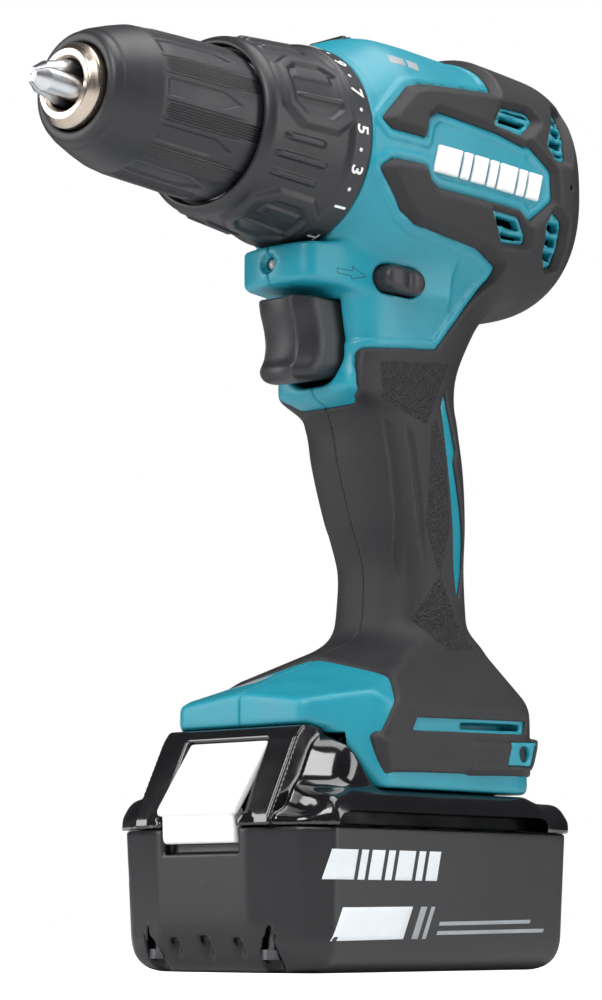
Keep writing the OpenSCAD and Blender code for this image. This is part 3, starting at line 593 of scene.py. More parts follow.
REAR_X = body_high[0] + 0.6
BARREL_FRONT_X = clutch_high[0] + 0.5
BARREL_HIGH = [(-20.5, 28.7), (-18.5, 29.1), (-15, 30.9), (-10, 33.3), (-5, 34.4), (0, 34.7),
               (20, 34.7), (45, 34.4), (60, 33.9), (74, 33.0)]
BARREL_WIDE = [(-20.5, 28.7), (-18.5, 28.9), (-14, 29.6), (-6, 30.8), (2, 31.3), (74, 31.2)]
GRIP_FRONT = [(70, 6), (84, 5.5), (92, 6), (100, 7), (110, 7), (124, 1.5), (140, -4),
              (149, -6.2), (153, -8.5), (157, -15.2), (160, -15.4), (166, -13.2),
              (176, -13.8), (184, -15), (196, -17), (208, -18)]
GRIP_REAR = [(70, 40), (84, 41), (92, 40.5), (100, 40), (110, 40), (124, 40.5), (140, 39.6),
             (150, 37.8), (156, 37), (166, 36.8), (176, 41), (184, 46), (196, 55), (208, 64)]
GRIP_WIDE = [(70, 17.5), (84, 17.5), (92, 17), (100, 16.5), (110, 16), (124, 17),
             (140, 17.5), (150, 17.5), (166, 17.6), (176, 18.5), (184, 19.6), (196, 22),
             (208, 24)]
GRIP_SKIN = 1.0
LAMP_Z = 190.2
SELECTOR_Z = 187.6
SELECTOR_STRAIGHT = 4.6
WALL = 2.5


def barrel(x, y, z):
    """Motor barrel: a rounded-square ring (power between 2 and 2.4) whose half height and
    half width follow x, closed by a flat front and a well-rounded rear."""
    high, wide = curve(x, BARREL_HIGH), curve(x, BARREL_WIDE)
    power = 2 + 0.4 * ramp(x, -20, -4)
    q = (np.abs(y / wide) ** power + np.abs((z - AXIS_Z) / high) ** power) ** (1 / power)
    side_face = (q - 1) * 0.5 * (high + wide)
    closed = soft_max(side_face, x - REAR_X, 15)
    return soft_max(closed, BARREL_FRONT_X - x, 0.8)


def grip(x, y, z):
    """Handle: superellipse slices whose front, rear and half width follow z; their power
    is 2.8, and 4.4 beside the trigger, where the handle's front is boxier."""
    front, rear, wide = (curve(z, k) for k in (GRIP_FRONT, GRIP_REAR, GRIP_WIDE))
    middle, deep = (front + rear) / 2, (rear - front) / 2
    inset = GRIP_SKIN * (1 - ramp(z, 152, 182))
    power = 2.8 + 1.6 * ramp(z, 151, 158) * (1 - ramp(z, 184, 196)) \
        * ramp(middle - x, -2, 8)
    q = (np.abs((x - middle) / deep) ** power + np.abs(y / wide) ** power) ** (1 / power)
    return soft_max((q - 1) * wide + inset, z - 218, 5)


def foot(x, y, z):
    """Battery foot: the side outline under a sloping top that is crowned across, side
    walls that lean in at 45 degrees above their ridge, and cut-off corners in plan."""
    w = np.abs(y)
    crown = (0.13 + 0.003 * np.clip(x + 42.6, 0, 30)) * (np.hypot(w, 4) - 4)
    over = 0.94 * (z - 72.4 - 0.362 * (x + 42.6) + crown)
    lean = soft_max(0.707 * (w + z - 105.8), 0.577 * (x + w + z - 142.2), 1.5)
    corner = -0.614 * (x + 42.6) + 0.789 * (w - 22)
    rear = 0.5 * (x - 39) + 0.866 * (w - 32.5)
    shape = soft_max(soft_max(FOOT(x, z), over, 1.6), soft_max(lean, w - 36, 1.0), 1.2)
    shape = soft_max(soft_max(shape, corner, 1.8), rear, 2.5)
    return soft_max(shape, z - 90, 3)


def lamp_block(x, y, z):
    """Lamp housing under the clutch: a wedge with a slightly pointed, rounded front."""
    w = np.abs(y)
    front = -31.9 + 2.8 * (w / 11.5) ** 2 - x
    flank = w - (12.2 + 0.2 * (x + 30))
    above = z - (195.2 + 0.1 * (x + 30))
    shape = soft_max(front, flank, 2.4)
    shape = soft_max(soft_max(shape, above, 1.2), 184.4 - z, 2.4)
    return soft_max(shape, x - 20, 1)


def body(x, y, z):
    """The whole moulded body: barrel, handle, lamp block and foot flowed together."""
    shape = soft_min(barrel(x, y, z), grip(x, y, z), 4)
    shape = soft_min(shape, lamp_block(x, y, z), 3)
    return soft_min(shape, foot(x, y, z), 5 * ramp(z, 72, 82) + 1)


def cover_outline(x, z):
    """Distance in the side view to the soft cover's edge, windows taken out of it."""
    edge = np.maximum(COVER(x, z), -STRIPE(x, z))
    for window in VENTS:
        edge = np.maximum(edge, -window(x, z))
    return np.maximum(edge, -SLOT_PANEL(x, z))


def trigger_gap(x, y, z):
    """The opening that the trigger slides in."""
    gap = 0.5
    rise = np.clip(0.2 * (x + 27) - 1.3, 0, 3)
    hole = cuboid(x, y, z, (-70, trigger_low[1] - gap, 100),
                  (-1.5, trigger_high[1] + gap, trigger_high[2] + gap))
    return soft_max(hole, trigger_low[2] - gap + rise - z, 8)


def foot_cavity(x, y, z):
    """The slot under the foot that the battery's rails slide in."""
    neck = cuboid(x, y, z, (-60, -24.6, 40), (41, 24.6, 55))
    head = cuboid(x, y, z, (-60, -28.6, 53.4), (41, 28.6, 61.6))
    return np.minimum(neck, head)


def rail(x, y, z):
    """The hook rail on the foot's flank: its side outline standing out to a face that
    steps outwards once, with bevelled edges."""
    w = np.abs(y)
    face = 37.0 + 0.9 * ramp(x - 0.25 * (z - 50), 4, 9)
    shape = soft_max(RAIL(x, z), w - face, 0.5)
    bevel = (RAIL(x, z) + w - face + 2.4) * 0.707
    return soft_max(soft_max(shape, bevel, 0.4), 33 - w, 0.5)


def selector_round(x, z):
    """Distance in the side view from the line between the selector's two round ends."""
    return np.hypot(np.maximum(np.abs(x) - SELECTOR_STRAIGHT, 0), z - SELECTOR_Z)


def housing(x, y, z):
    """Left half of the teal shell: the body with a lip along the cover's edge, hollow
    above the foot, opened for clutch, trigger, selector, lamp, vents and battery."""
    whole = body(x, y, z)
    edge = cover_outline(x, z)
    upper = ramp(z, 150, 158)
    lip = 0.55 * ramp(edge, 0.1, 0.7) * (1 - ramp(edge, 2.2, 2.9)) * upper
    shape = whole - lip
    hollow = soft_max(whole + WALL, 68.4 - z, 1)
    shape = np.maximum(shape, -hollow)
    ring_gap = 24.9 - np.hypot(y, z - AXIS_Z)
    shape = np.maximum(shape, -np.maximum(x + 12, -ring_gap))
    shape = soft_max(shape, -trigger_gap(x, y, z), 1.2)
    selector_gap = selector_round(x, z) - 4.1
    shape = soft_max(shape, -np.maximum(selector_gap, np.abs(y) - 40), 0.5)
    lamp_r = np.hypot(y, z - LAMP_Z)
    lamp_hole = np.minimum(lamp_r - 1.7, np.maximum(lamp_r - 2.7, x + 30.9))
    shape = soft_max(shape, -np.maximum(lamp_hole, x + 20), 0.4)
    switch_slot = cuboid(x, y, z, (speed_low[0] - 0.7, -7.5, 248),
                         (speed_high[0] + 4.2, 7.5, 270))
    shape = soft_max(shape, -switch_slot, 0.6)
    for window, shift in zip(VENTS, VENT_SHIFT):
        inner = window(x, z) + 0.9
        height = z - AXIS_Z - shift
        slats = np.abs(np.mod(height, SLAT_PITCH) - SLAT_PITCH / 2) - 1.25
        shape = np.maximum(shape, -np.maximum(inner, slats))
    shape = np.maximum(shape, -foot_cavity(x, y, z))
    slit = np.maximum(SLOT(x, z), 30.5 - np.abs(y))
    shape = soft_max(shape, -slit, 0.2)
    pad = soft_max(soft_max(HOOK_PAD(x, z) + 0.1, np.abs(y) - 37.5, 0.3), 31 - np.abs(y), 0.3)
    shape = np.minimum(shape, pad)
    bore = np.hypot(x - HOOK_X, z - HOOK_Z) - 2.3
    shape = soft_max(shape, -np.maximum(bore, 30 - np.abs(y)), 0.3)
    return soft_max(shape, y + 0.04, 0.2)


def cover(x, y, z):
    """Left half of the soft cover: a skin over the body inside the cover's outline, thick
    with bevelled edges on the barrel, thin on the grip and foot, plus the hook rail."""
    whole = body(x, y, z)
    edge = cover_outline(x, z)
    thick = 0.9 + 1.7 * ramp(z + 0.25 * x, 190, 206)
    shape = soft_max(whole - thick, (edge + whole - 0.45) * 0.707, 0.35)
    shape = soft_max(shape, edge, 0.25)
    for groove in GROOVES:
        shape = shape + 0.85 * ramp(-groove(x, z), -0.3, 1.1)
    patch_edge = np.minimum(PATCHES[0](x, z), PATCHES[1](x, z))
    shape = shape + 0.18 * ramp(-patch_edge, -0.2, 0.4)
    pin_hole = np.hypot(x - 61.4, z - 223.2) - 0.8
    shape = np.maximum(shape, -pin_hole)
    shape = np.maximum(shape, -(whole + 1.2))
    shape = soft_max(shape, -trigger_gap(x, y, z), 0.8)
    bars = soft_max(rail(x, y, z), -(HOOK_PAD(x, z) - 0.1), 0.3)
    bars = soft_max(bars, -(np.hypot(x - HOOK_X, z - HOOK_Z) - 3.0), 0.3)
    shape = np.minimum(shape, bars)
    shape = np.maximum(shape, -foot_cavity(x, y, z))
    return soft_max(shape, y + 0.04, 0.2)


halves("housing_shell", "teal_plastic",
       skin(housing, (-45, -39, 46), (73, 0.3, 260), 0.72), "housing")

points, squares = skin(cover, (-33, -39, 46), (75, 0.3, 262), 0.66)
patch = np.maximum(*(ramp(-area(points[:, 0], points[:, 2]), -0.2, 0.4) for area in PATCHES))
halves("soft_cover", "soft_grip", (points, squares), "overmould", patch=patch)


# ------------------------------------------------------------------ raised marks

def surface_y(x, z, field, start=-45.0):
    """The y at which the left side of a field's surface stands over each (x, z): a march
    inwards, then twelve halvings."""
    y = np.full(x.shape, start)
    for _ in range(90):
        y = np.where(field(x, y, z) > 0, y + 0.5, y)
    low, high = y - 0.5, y.copy()
    for _ in range(12):
        middle = (low + high) / 2
        out = field(x, middle, z) > 0
        low, high = np.where(out, middle, low), np.where(out, high, middle)
    return (low + high) / 2


def between(corners, u, v):
    """The two coordinates that lie shares u and v of the way between four corners."""
    a, b, c, d = (np.array(p, float)[:, None, None] for p in corners)
    return a * (1 - u) * (1 - v) + b * u * (1 - v) + c * u * v + d * (1 - u) * v


def slab(upper, lower):
    """A closed mesh from two grids of points, one over the other."""
    n, m = upper.shape[:2]
    index = np.arange(n * m).reshape(n, m)
    grid = np.stack([index[:-1, :-1], index[1:, :-1], index[1:, 1:], index[:-1, 1:]],
                    -1).reshape(-1, 4)
    loop = np.concatenate([index[:, 0], index[-1, 1:], index[-2::-1, -1], index[0, -2:0:-1]])
    after = np.roll(loop, -1)
    walls = np.stack([loop + n * m, after + n * m, after, loop], 1)
    return (np.concatenate([upper.reshape(-1, 3), lower.reshape(-1, 3)]),
            np.concatenate([grid, grid[:, ::-1] + n * m, walls]))


def rimmed(length, bevel, count):
    """Shares from 0 to 1 along a side that keep a bevel's width free at each end."""
    rim = min(0.3, bevel / length)
    return np.concatenate([[0, rim], np.linspace(rim, 1 - rim, count)[1:-1], [1 - rim, 1]])


def plaque(corners, field, height, bevel=0.35, columns=12, rows=8, sink=0.4):
    """A raised patch between four (x, z) corners: a grid blended between them that lies on
    a field's surface, lifted by height inside a bevelled rim, closed underneath."""
    a, b, _, d = (np.array(p, float) for p in corners)
    u, v = np.meshgrid(rimmed(max(np.hypot(*(b - a)), 0.1), bevel, columns),
                       rimmed(max(np.hypot(*(d - a)), 0.1), bevel, rows), indexing="ij")
    x, z = between(corners, u, v)
    y = surface_y(x, z, field)
    rim = (u == 0) | (u == 1) | (v == 0) | (v == 1)
    points, faces = slab(
        np.stack([x, y - np.where(rim, height - bevel * 0.8, height), z], -1),
        np.stack([x, y + sink, z], -1))
    (x0, y0), (x1, y1) = b - a, d - a
    if x0 * y1 - x1 * y0 < 0:
        faces = faces[:, ::-1]
    return points, faces


def gathered(parts):
    """Several (points, faces) parts as one."""
    start = np.cumsum([0] + [len(p) for p, _ in parts])
    return (np.concatenate([p for p, _ in parts]),
            np.concatenate([f + s for (_, f), s in zip(parts, start)]))


def both_sides(parts):
    """Several parts and their mirror images as one."""
    left = gathered(parts)
    return gathered([left, mirrored(*left)])


def slanted_bars(x0, z0, z1, widths, gap, lean):
    """Corners of a row of leaning bars, left to right."""
    rows = []
    for width in widths:
        rows.append([(x0, z0), (x0 + width, z0), (x0 + width + lean, z1), (x0 + lean, z1)])
        x0 += width + gap
    return rows


def stroke(start, end, width):
    """Corners of a thin bar from one (x, z) place to another."""
    a, b = np.array(start, float), np.array(end, float)
    n = (b - a)[::-1] * (-1, 1) / np.hypot(*(b - a)) * width / 2
    return [a - n, b - n, b + n, a + n]


MARK_WIDTHS = (9.5, 3.2, 5.6, 3.2, 7.4, 3.2, 5.6)
piece("side_marks_raised", "tool", "white_plastic",
      *both_sides([plaque(c, body, 1.2, 0.4) for c in
                   slanted_bars(1.2, 216.8, 224.6, MARK_WIDTHS, 1.35, 2.1)]),
      ["side_marks"])

ARROW = [(-19.4, 188.9), (-14.6, 188.6), (-14.7, 189.9), (-10.9, 187.3), (-15.0, 186.4),
         (-14.9, 187.2), (-19.3, 187.5), (-19.4, 188.9)]
# The arrow's outline is a near-flat dark teal ribbon: painted shade standing in for the shading
# along an embossed arrow's edges.
piece("direction_arrow_painted_shade", "tool", "teal_plastic",
      *both_sides([plaque(stroke(a, b, 0.32), body, 0.03, 0.02, rows=3, sink=0.3)
                   for a, b in zip(ARROW, ARROW[1:])]), look="painted_shade_teal")
piece("top_print", "tool", "grey_plastic",
      *both_sides([plaque(c, body, 0.05, 0.03, sink=0.3) for c in (
          [(-8.6, 246.9), (-3.6, 246.6), (-2.6, 249.4), (-7.6, 249.6)],
          [(-2.4, 246.5), (1.6, 246.2), (2.6, 249.1), (-1.4, 249.4)])]), look="grey_print")


def badge(corners, height, sink=0.5):
    """A flat patch between four (x, y) corners laid on the foot's sloping top: a grid
    blended between them whose height is found by marching down the body's field."""
    u, v = np.meshgrid(np.linspace(0, 1, 14), np.linspace(0, 1, 10), indexing="ij")
    x, y = between(corners, u, v)
    z = np.full(u.shape, 95.0)
    for pace in (1.0, 0.25, 0.05, 0.01):
        for _ in range(40):
            z = np.where(body(x, y, z) > 0, z - pace, z)
        z = z + pace
    return slab(np.stack([x, y, z + height], -1), np.stack([x, y, z - sink], -1))


piece("foot_badge", "tool", "grey_plastic",
      *badge([(-30, 6), (-22, 6), (-18, 19), (-26, 19)], 0.05), look="grey_print")


# ------------------------------------------------------------------ turned pieces

def eased(profile, radius):
    """Rounds a closed profile's corners: each corner becomes three points of the parabola
    between the two spots that lie radius away from it along its sides."""
    p = np.asarray(profile, float)
    before, after = np.roll(p, 1, 0), np.roll(p, -1, 0)
    back = before - p
    ahead = after - p
    lb = np.hypot(back[:, 0], back[:, 1])[:, None]
    la = np.hypot(ahead[:, 0], ahead[:, 1])[:, None]
    a = p + back / lb * np.minimum(radius, 0.42 * lb)
    b = p + ahead / la * np.minimum(radius, 0.42 * la)
    middle = 0.25 * a + 0.5 * p + 0.25 * b
    a[:, 2], b[:, 2], middle[:, 2] = p[:, 2], p[:, 2], p[:, 2]
    return np.stack([a, middle, b], 1).reshape(-1, 3)


def turned(profile, columns, relief=None, spacing=0.6, radius=0.4):
    """A closed profile of (x, radius, relief weight) carried round the spindle. Long sides
    are cut into short ones; the relief, a function of x and angle, is added to the radius.
    The angle is measured from the left side upwards."""
    p = eased(profile, radius)
    nxt = np.roll(p, -1, 0)
    cuts = np.maximum(1, np.ceil(np.hypot(*(nxt - p)[:, :2].T) / spacing)).astype(int)
    rows = np.concatenate([a + (b - a) * (np.arange(n) / n)[:, None]
                           for a, b, n in zip(p, nxt, cuts)])
    angle = 2 * math.pi * np.arange(columns) / columns
    x = np.repeat(rows[:, :1], columns, 1)
    r = np.repeat(rows[:, 1:2], columns, 1)
    if relief is not None:
        r = r + rows[:, 2:3] * relief(x, np.degrees(angle)[None, :])
    points = np.stack([x, -r * np.cos(angle), AXIS_Z + r * np.sin(angle)], -1)
    n = len(rows)
    i = np.arange(n)[:, None]
    j = np.arange(columns)[None, :]
    i2, j2 = (i + 1) % n, (j + 1) % columns
    faces = np.stack(np.broadcast_arrays(i * columns + j, i2 * columns + j,
                                         i2 * columns + j2, i * columns + j2),
                     -1).reshape(-1, 4)
    area = (p[:, 0] * nxt[:, 1] - nxt[:, 0] * p[:, 1]).sum()
    if area > 0:
        faces = faces[:, ::-1]
    return points.reshape(-1, 3), faces


def turn_from(angle, centre, count):
    """Angle from the nearest of count evenly spaced centres, in degrees."""
    pitch = 360 / count
    return np.mod(angle - centre + pitch / 2, pitch) - pitch / 2


def band(value, half, soft):
    """1 where |value| is under half, falling smoothly to 0 over soft."""
    return 1 - ramp(np.abs(value), half - soft / 2, half + soft / 2)


SLEEVE_GROUPS = 10
RIB_PITCH = 2.0


def sleeve_relief(x, angle):
    """Six fine ribs in each of ten groups, and between the groups a long pressed-in arrow."""
    turn = turn_from(angle, 17, SLEEVE_GROUPS)
    start = sleeve_low[0] + 13.5
    ribs = band(turn, 6.0, 0.5) * ramp(x - 0.18 * np.abs(turn), start, start + 0.8)
    wave = 0.5 - 0.5 * np.cos(2 * math.pi * turn / RIB_PITCH)
    arrow_turn = turn_from(angle, 35, SLEEVE_GROUPS)
    point = np.clip((-63.0 - x) / 7.0, 0, 1)
    wide = 7.8 * point
    arrow = ramp(wide - np.abs(arrow_turn), 0, 2.4) * ramp(x, start, start + 1.2)
    notch = band(np.abs(turn) - 7.4, 0.55, 0.7) * ramp(x, start - 1, start + 1) \
        * (1 - ramp(x, -66, -60))
    return -0.42 * ribs * wave - 0.5 * arrow - 0.35 * notch


def ring_relief(x, angle):
    """Four broad framed lugs, each with a sunk middle and a bar in it, and three tapered
    bars in each gap between them."""
    turn = turn_from(angle, 18.5, 4)
    along = x + 39.5
    frame_edge = np.maximum(np.abs(along) / 12.8, np.maximum(
        np.abs(turn) / 25.5, np.abs(along) / 22 + np.abs(turn) / 36))
    lug = 1 - ramp(frame_edge, 0.88, 1.04)
    inner_edge = np.maximum(np.abs(along + 0.6) / 8.6, np.maximum(
        np.abs(turn) / 17.5, np.abs(along + 0.6) / 15 + np.abs(turn) / 25))
    inner = 1 - ramp(inner_edge, 0.9, 1.05)
    bar = band(turn + 6.0, 1.5, 1.4) * band(along, 7.2, 1.8) \
        + band(turn - 8.5, 3.4, 1.4) * band(along + 1.0, 6.6, 1.8)
    gap_turn = turn_from(angle, -26.5, 4)
    bars = sum(band(gap_turn - at, 1.9, 1.9) * band(along + 4.0, long_half, 2.2)
               for at, long_half in ((12.5, 6.5), (1.0, 8.6), (-11.0, 7.6)))
    return 1.25 * lug - 0.85 * inner + 0.8 * np.clip(bar, 0, 1) * inner \
        + 0.9 * np.clip(bars, 0, 1)


front, rear = sleeve_low[0], sleeve_high[0]
shell("sleeve_shell", "sleeve_group", "black_plastic", turned([
    (front + 1.6, 11.45, 0), (front - 0.7, 11.6, 0), (front - 1.1, 12.5, 0),
    (front - 0.9, 14.0, 0), (front + 0.2, 14.9, 0), (front + 1.6, 15.3, 0),
    (front + 2.2, 15.9, 0), (front + 8, 17.9, 0), (front + 12.5, 19.2, 1),
    (front + 18, 19.9, 1), (front + 27, 20.3, 1), (front + 41, 20.8, 1),
    (rear - 0.5, 20.9, 1), (rear, 20.6, 0), (rear, 17.4, 0), (front + 13, 17.2, 0),
    (front + 4, 13.9, 0)], 900, sleeve_relief, spacing=0.8, radius=0.5), "chuck_sleeve")

front, rear = clutch_low[0], clutch_high[0]
shell("clutch_shell", "clutch_ring_body", "black_plastic", turned([
    (front, 21.75, 0), (front + 0.1, 22.9, 0), (front + 1.2, 23.9, 0),
    (front + 2.6, 24.5, 0), (front + 3.4, 24.5, 1), (front + 20, 26.1, 1),
    (front + 28.2, 27.2, 1), (front + 29.6, 28.3, 0), (rear - 0.2, 28.55, 0),
    (rear, 28.3, 0), (rear, 23.75, 0), (front + 6, 23.75, 0), (front + 4.4, 20.2, 0),
    (front + 3, 20.2, 0), (front + 3, 21.75, 0)], 720, ring_relief, spacing=0.7,
    radius=0.45), "clutch_ring")

shell("nose_ring_turned", "spindle_group", "warm_steel", turned([
    (NOSE_X, 7.4, 0), (NOSE_X, 9.2, 0), (NOSE_X + 1.9, 10.9, 0),
    (NOSE_X + 2.4, 11.2, 0), (NOSE_X + 6.0, 11.25, 0), (NOSE_X + 6.0, 6.7, 0),
    (NOSE_X + 0.9, 6.7, 0)], 180, spacing=0.5, radius=0.25), "nose_ring")


def lettering(text, size, thickness):
    """A line of figures as mesh points (across, up, out) and triangles, centred."""
    data = bpy.data.curves.new("figures", "FONT")
    data.body = text
    data.size = size
    data.extrude = thickness / 2
    data.offset = 0.012 * size
    data.resolution_u = 3
    data.align_x = "CENTER"
    maker = scene_object("figures", data)
    mesh = bpy.data.meshes.new_from_object(maker.evaluated_get(
        bpy.context.evaluated_depsgraph_get()))
    mesh.calc_loop_triangles()
    points = np.zeros(len(mesh.vertices) * 3, np.float32)
    mesh.vertices.foreach_get("co", points)
    triangles = np.zeros(len(mesh.loop_triangles) * 3, np.int32)
    mesh.loop_triangles.foreach_get("vertices", triangles)
    bpy.data.objects.remove(maker)
    bpy.data.curves.remove(data)
    bpy.data.meshes.remove(mesh)
    points = points.reshape(-1, 3).astype(float)
    points[:, 1] -= 0.36 * size
    return points, triangles.reshape(-1, 3)


def round_dot(radius, thickness, sides=20):
    """A flat disc as (across, up, out) points and triangles."""
    a = 2 * math.pi * np.arange(sides) / sides
    ring = np.stack([radius * np.cos(a), radius * np.sin(a)], 1)
    points = np.concatenate([np.column_stack([ring, np.full(sides, s * thickness / 2)])
                             for s in (1, -1)] + [[[0, 0, thickness / 2],
                                                   [0, 0, -thickness / 2]]])
    i = np.arange(sides)
    j = (i + 1) % sides
    top_fan = np.stack([i, j, np.full(sides, 2 * sides)], 1)
    low_fan = np.stack([j + sides, i + sides, np.full(sides, 2 * sides + 1)], 1)
    wall = np.concatenate([np.stack([i, i + sides, j], 1),
                           np.stack([j, i + sides, j + sides], 1)])
    return points, np.concatenate([top_fan, low_fan, wall])


def wrapped(flat, x, angle, radius):
    """Lays a flat sign on the clutch ring: its up goes along x, its across goes down the
    ring's left side, its thickness goes outwards."""
    points, triangles = flat
    a = math.radians(angle) - points[:, 0] / radius
    r = radius + points[:, 2]
    return (np.stack([x + points[:, 1], -r * np.cos(a), AXIS_Z + r * np.sin(a)], 1),
            triangles[:, ::-1])


NUMBER_PITCH = 22.4
FIRST_NUMBER = -45.2
SIGN_R = 28.5
SIGN_DEPTH = 0.16
signs = []
band_x = rear - 3.7
for n in range(11):
    turn = FIRST_NUMBER + NUMBER_PITCH * n
    figures = lettering(str(2 * n + 1), 6.0 if n < 5 else 4.6, SIGN_DEPTH)
    signs.append(wrapped(figures, band_x, turn, SIGN_R))
    if n < 10:
        signs.append(wrapped(round_dot(0.55, SIGN_DEPTH), band_x - 0.3,
                             turn + NUMBER_PITCH / 2, SIGN_R))
signs.append(wrapped(lettering("T", 5.0, SIGN_DEPTH), band_x, -69.5, SIGN_R))
piece("ring_numbers", "clutch_ring_body", "white_plastic", *gathered(signs))


# ------------------------------------------------------------------ trigger, selector, lamp

TRIGGER_FACE = [(157, -26.9), (158.8, -28.5), (161, -28.8), (165, -27.0), (168.5, -26.4),
                (173, -27.0), (178, -28.6), (180.6, -29.0), (182, -29.0)]


def trigger_shape(x, y, z):
    """Trigger: a hollowed finger face between two upright ridges, flanks that slant back
    from them, flat sides and a rounded top and toe."""
    w = np.abs(y)
    face = curve(z, TRIGGER_FACE) + trigger_low[0] + 29.0
    hollow = 1.0 * (1 - np.clip(w / 5.6, 0, 1) ** 2)
    front_face = face + hollow - x
    flank = (w - 5.9) * 0.83 - (x - face) * 0.56
    shape = soft_max(front_face, flank, 0.5)
    shape = soft_max(shape, w - trigger_high[1], 1.2)
    toe = (trigger_low[2] - z) + 0.2 * np.maximum(x + 27, 0)
    shape = soft_max(soft_max(shape, z - trigger_high[2], 1.2), toe, 5)
    return soft_max(shape, x - trigger_high[0], 1)


shell("trigger_moulding", "trigger_group", "black_plastic",
      skin(trigger_shape, trigger_low - 1, trigger_high + 1, 0.45), "trigger")


def selector_shape(x, y, z):
    """Direction selector: a bar through the body with rounded ends and a waist."""
    w = np.abs(y)
    reach = select_high[1] - 0.4 - 0.7 * band(x - 1.0, 1.2, 3.0) + 0.25 * band(x + 3.0, 1.0, 4.0)
    return soft_max(selector_round(x, z) - 3.6, w - reach, 2.6)


shell("selector_bar", "selector_body", "black_plastic",
      skin(selector_shape, (-9, -24, 184), (9, 24, 191.5), 0.45), "direction_selector")


def speed_shape(x, y, z):
    """Speed slide: a low rounded block with cross ribs on its top."""
    crown = speed_high[2] - 0.8 + 0.6 * band(np.mod(x - speed_low[0], 2.2) - 1.1, 0.55, 0.5)
    shape = soft_max(np.maximum(speed_low[0] - x, x - speed_high[0]),
                     np.abs(y) - speed_high[1], 2)
    return soft_max(soft_max(shape, z - crown, 0.7), speed_low[2] - z, 0.3)


shell("speed_slide", "speed_group", "black_plastic",
      skin(speed_shape, speed_low - 0.5, speed_high + 0.5, 0.4), "speed_selector")


def lens_shape(x, y, z):
    """Lamp lens: a short rod with a domed front."""
    r = np.hypot(y, z - LAMP_Z)
    return soft_max(soft_max(r - 1.55, -30.4 + 0.35 * r ** 2 / 1.5 - x, 0.3), x + 24.5, 0.3)


piece("lamp_lens", "tool", "lens",
      *skin(lens_shape, (-31, -2, LAMP_Z - 2), (-24, 2, LAMP_Z + 2), 0.25), ["led_lens"])


# ------------------------------------------------------------------ battery

half = case_high[0]
wide = case_high[1]
PLAN = Template([(-half, -16), (-half, 16), (-half + 4.2, 30.5), (-half + 10.5, wide),
                 (half - 8.5, wide), (half, wide - 8.5), (half, -wide + 8.5),
                 (half - 8.5, -wide), (-half + 10.5, -wide), (-half + 4.2, -30.5)],
                soften=1.0, margin=8)
SEAM_Z = case_high[2]
BUTTON_UPPER = Template([(-45.2, 59.2), (-46.4, 59.6), (-59.2, 42.0), (-59.3, 40.4),
                         (-57.4, 40.0), (-43.6, 58.2)], soften=0.5)
BUTTON_LOWER = Template([(-58.6, 42), (-58.2, 34.2), (-57.6, 33.0), (-54.4, 33.0),
                         (-54.0, 42)], soften=0.4)
TOWER = Template([(-57.4, 36), (-57.2, 39.5), (-46.6, 60.4), (-44.0, 63.3), (-36, 63.3),
                  (-30, deck_high[2]), (34, deck_high[2]), (34, 36)], soften=0.8, margin=12)
POCKET = Template([(-66, 30.4), (-54.0, 30.4), (-54.0, 40), (-43.2, 57.2), (-45.3, 59.6),
                   (-66, 66)], soften=0.3)


def pocket(x, y, z):
    """The recess that the release button sits in: wide behind its upper plate, narrower
    behind its lower one."""
    reach = 13.3 + 1.2 * ramp(z, 38.6, 39.4)
    return np.maximum(POCKET(x, z), np.abs(y) - reach)


def lower_case(x, y, z):
    """Lower battery case: the plan outline with a little draft, a rounded base, a sloping
    cut along the bottom of the front, and holes that rise into it from below."""
    shape = PLAN(x, y) + 0.05 * (SEAM_Z - z)
    shape = soft_max(shape, case_low[2] - z, 9)
    hollow = np.maximum(shape + 2.4, -half + 13 - x)
    slope = -0.88 * (x + half + 0.2) - 0.475 * (z - 13.0)
    shape = soft_max(shape, slope, 1.6)
    shape = soft_max(shape, z - SEAM_Z, 0.8)
    for y0, r, rise, inset in ((20.5, 3.0, 12, 3.2), (-20.5, 3.0, 12, 3.2), (11.5, 1.6, 9, 1.8),
                               (0.5, 1.8, 9.5, 1.6), (-11.0, 1.6, 9, 1.8)):
        hole = np.hypot(x + half - inset - r, y - y0) - r
        shape = soft_max(shape, -np.maximum(hole, z - rise), 0.4)
    shape = np.maximum(shape, -hollow)
    return soft_max(shape, -pocket(x, y, z), 0.6)


def upper_case(x, y, z):
    """Upper battery case: a thin deck, raised blocks along both sides, and a tower under
    the tool's foot that sweeps down into them in hollow curves."""
    w = np.abs(y)
    plan = PLAN(x, y) + 0.5
    deck = soft_max(plan, z - 39.0, 1.5)
    block = soft_max(soft_max(plan, z - 45.2, 4.5), -(x + 47.5) - 0.25 * (w - 30), 3)
    block = soft_max(block, 20 - w, 3)
    facet = -0.719 * (x + 57.2) + 0.603 * (w - 17) + 0.345 * (z - 38)
    nose = soft_max(soft_max(TOWER(x, z), facet, 9), w - 33.5 + 0.1 * (z - 45), 3)
    past_foot = 0.7 - FOOT(x, z)
    nose = soft_max(nose, past_foot, 0.8)
    core = np.maximum(TOWER(x, z), w - 24.1)
    head = np.maximum(np.maximum(TOWER(x, z), w - 28.1), np.maximum(54.0 - z, -30 - x))
    flank = soft_min(soft_min(deck, nose, 8), block, 6)
    flank = np.where(w > 24.4, soft_max(flank, past_foot, 0.5), flank)
    shape = np.minimum(np.minimum(flank, core), head)
    shape = np.maximum(shape, SEAM_Z + 0.25 - z)
    shape = np.maximum(shape, -cuboid(x, y, z, (-43, -33.5, 30), (half - 3, 33.5, 42)))
    return soft_max(shape, -pocket(x, y, z), 0.6)


def button_shape(x, y, z):
    """Release button: a sloping plate with a lip at its foot over a narrower upright one."""
    w = np.abs(y)
    plate = soft_max(BUTTON_UPPER(x, z), w - button_high[1], 1.0)
    stem = soft_max(BUTTON_LOWER(x, z), w - 12.8, 1.0)
    return np.minimum(plate, stem)


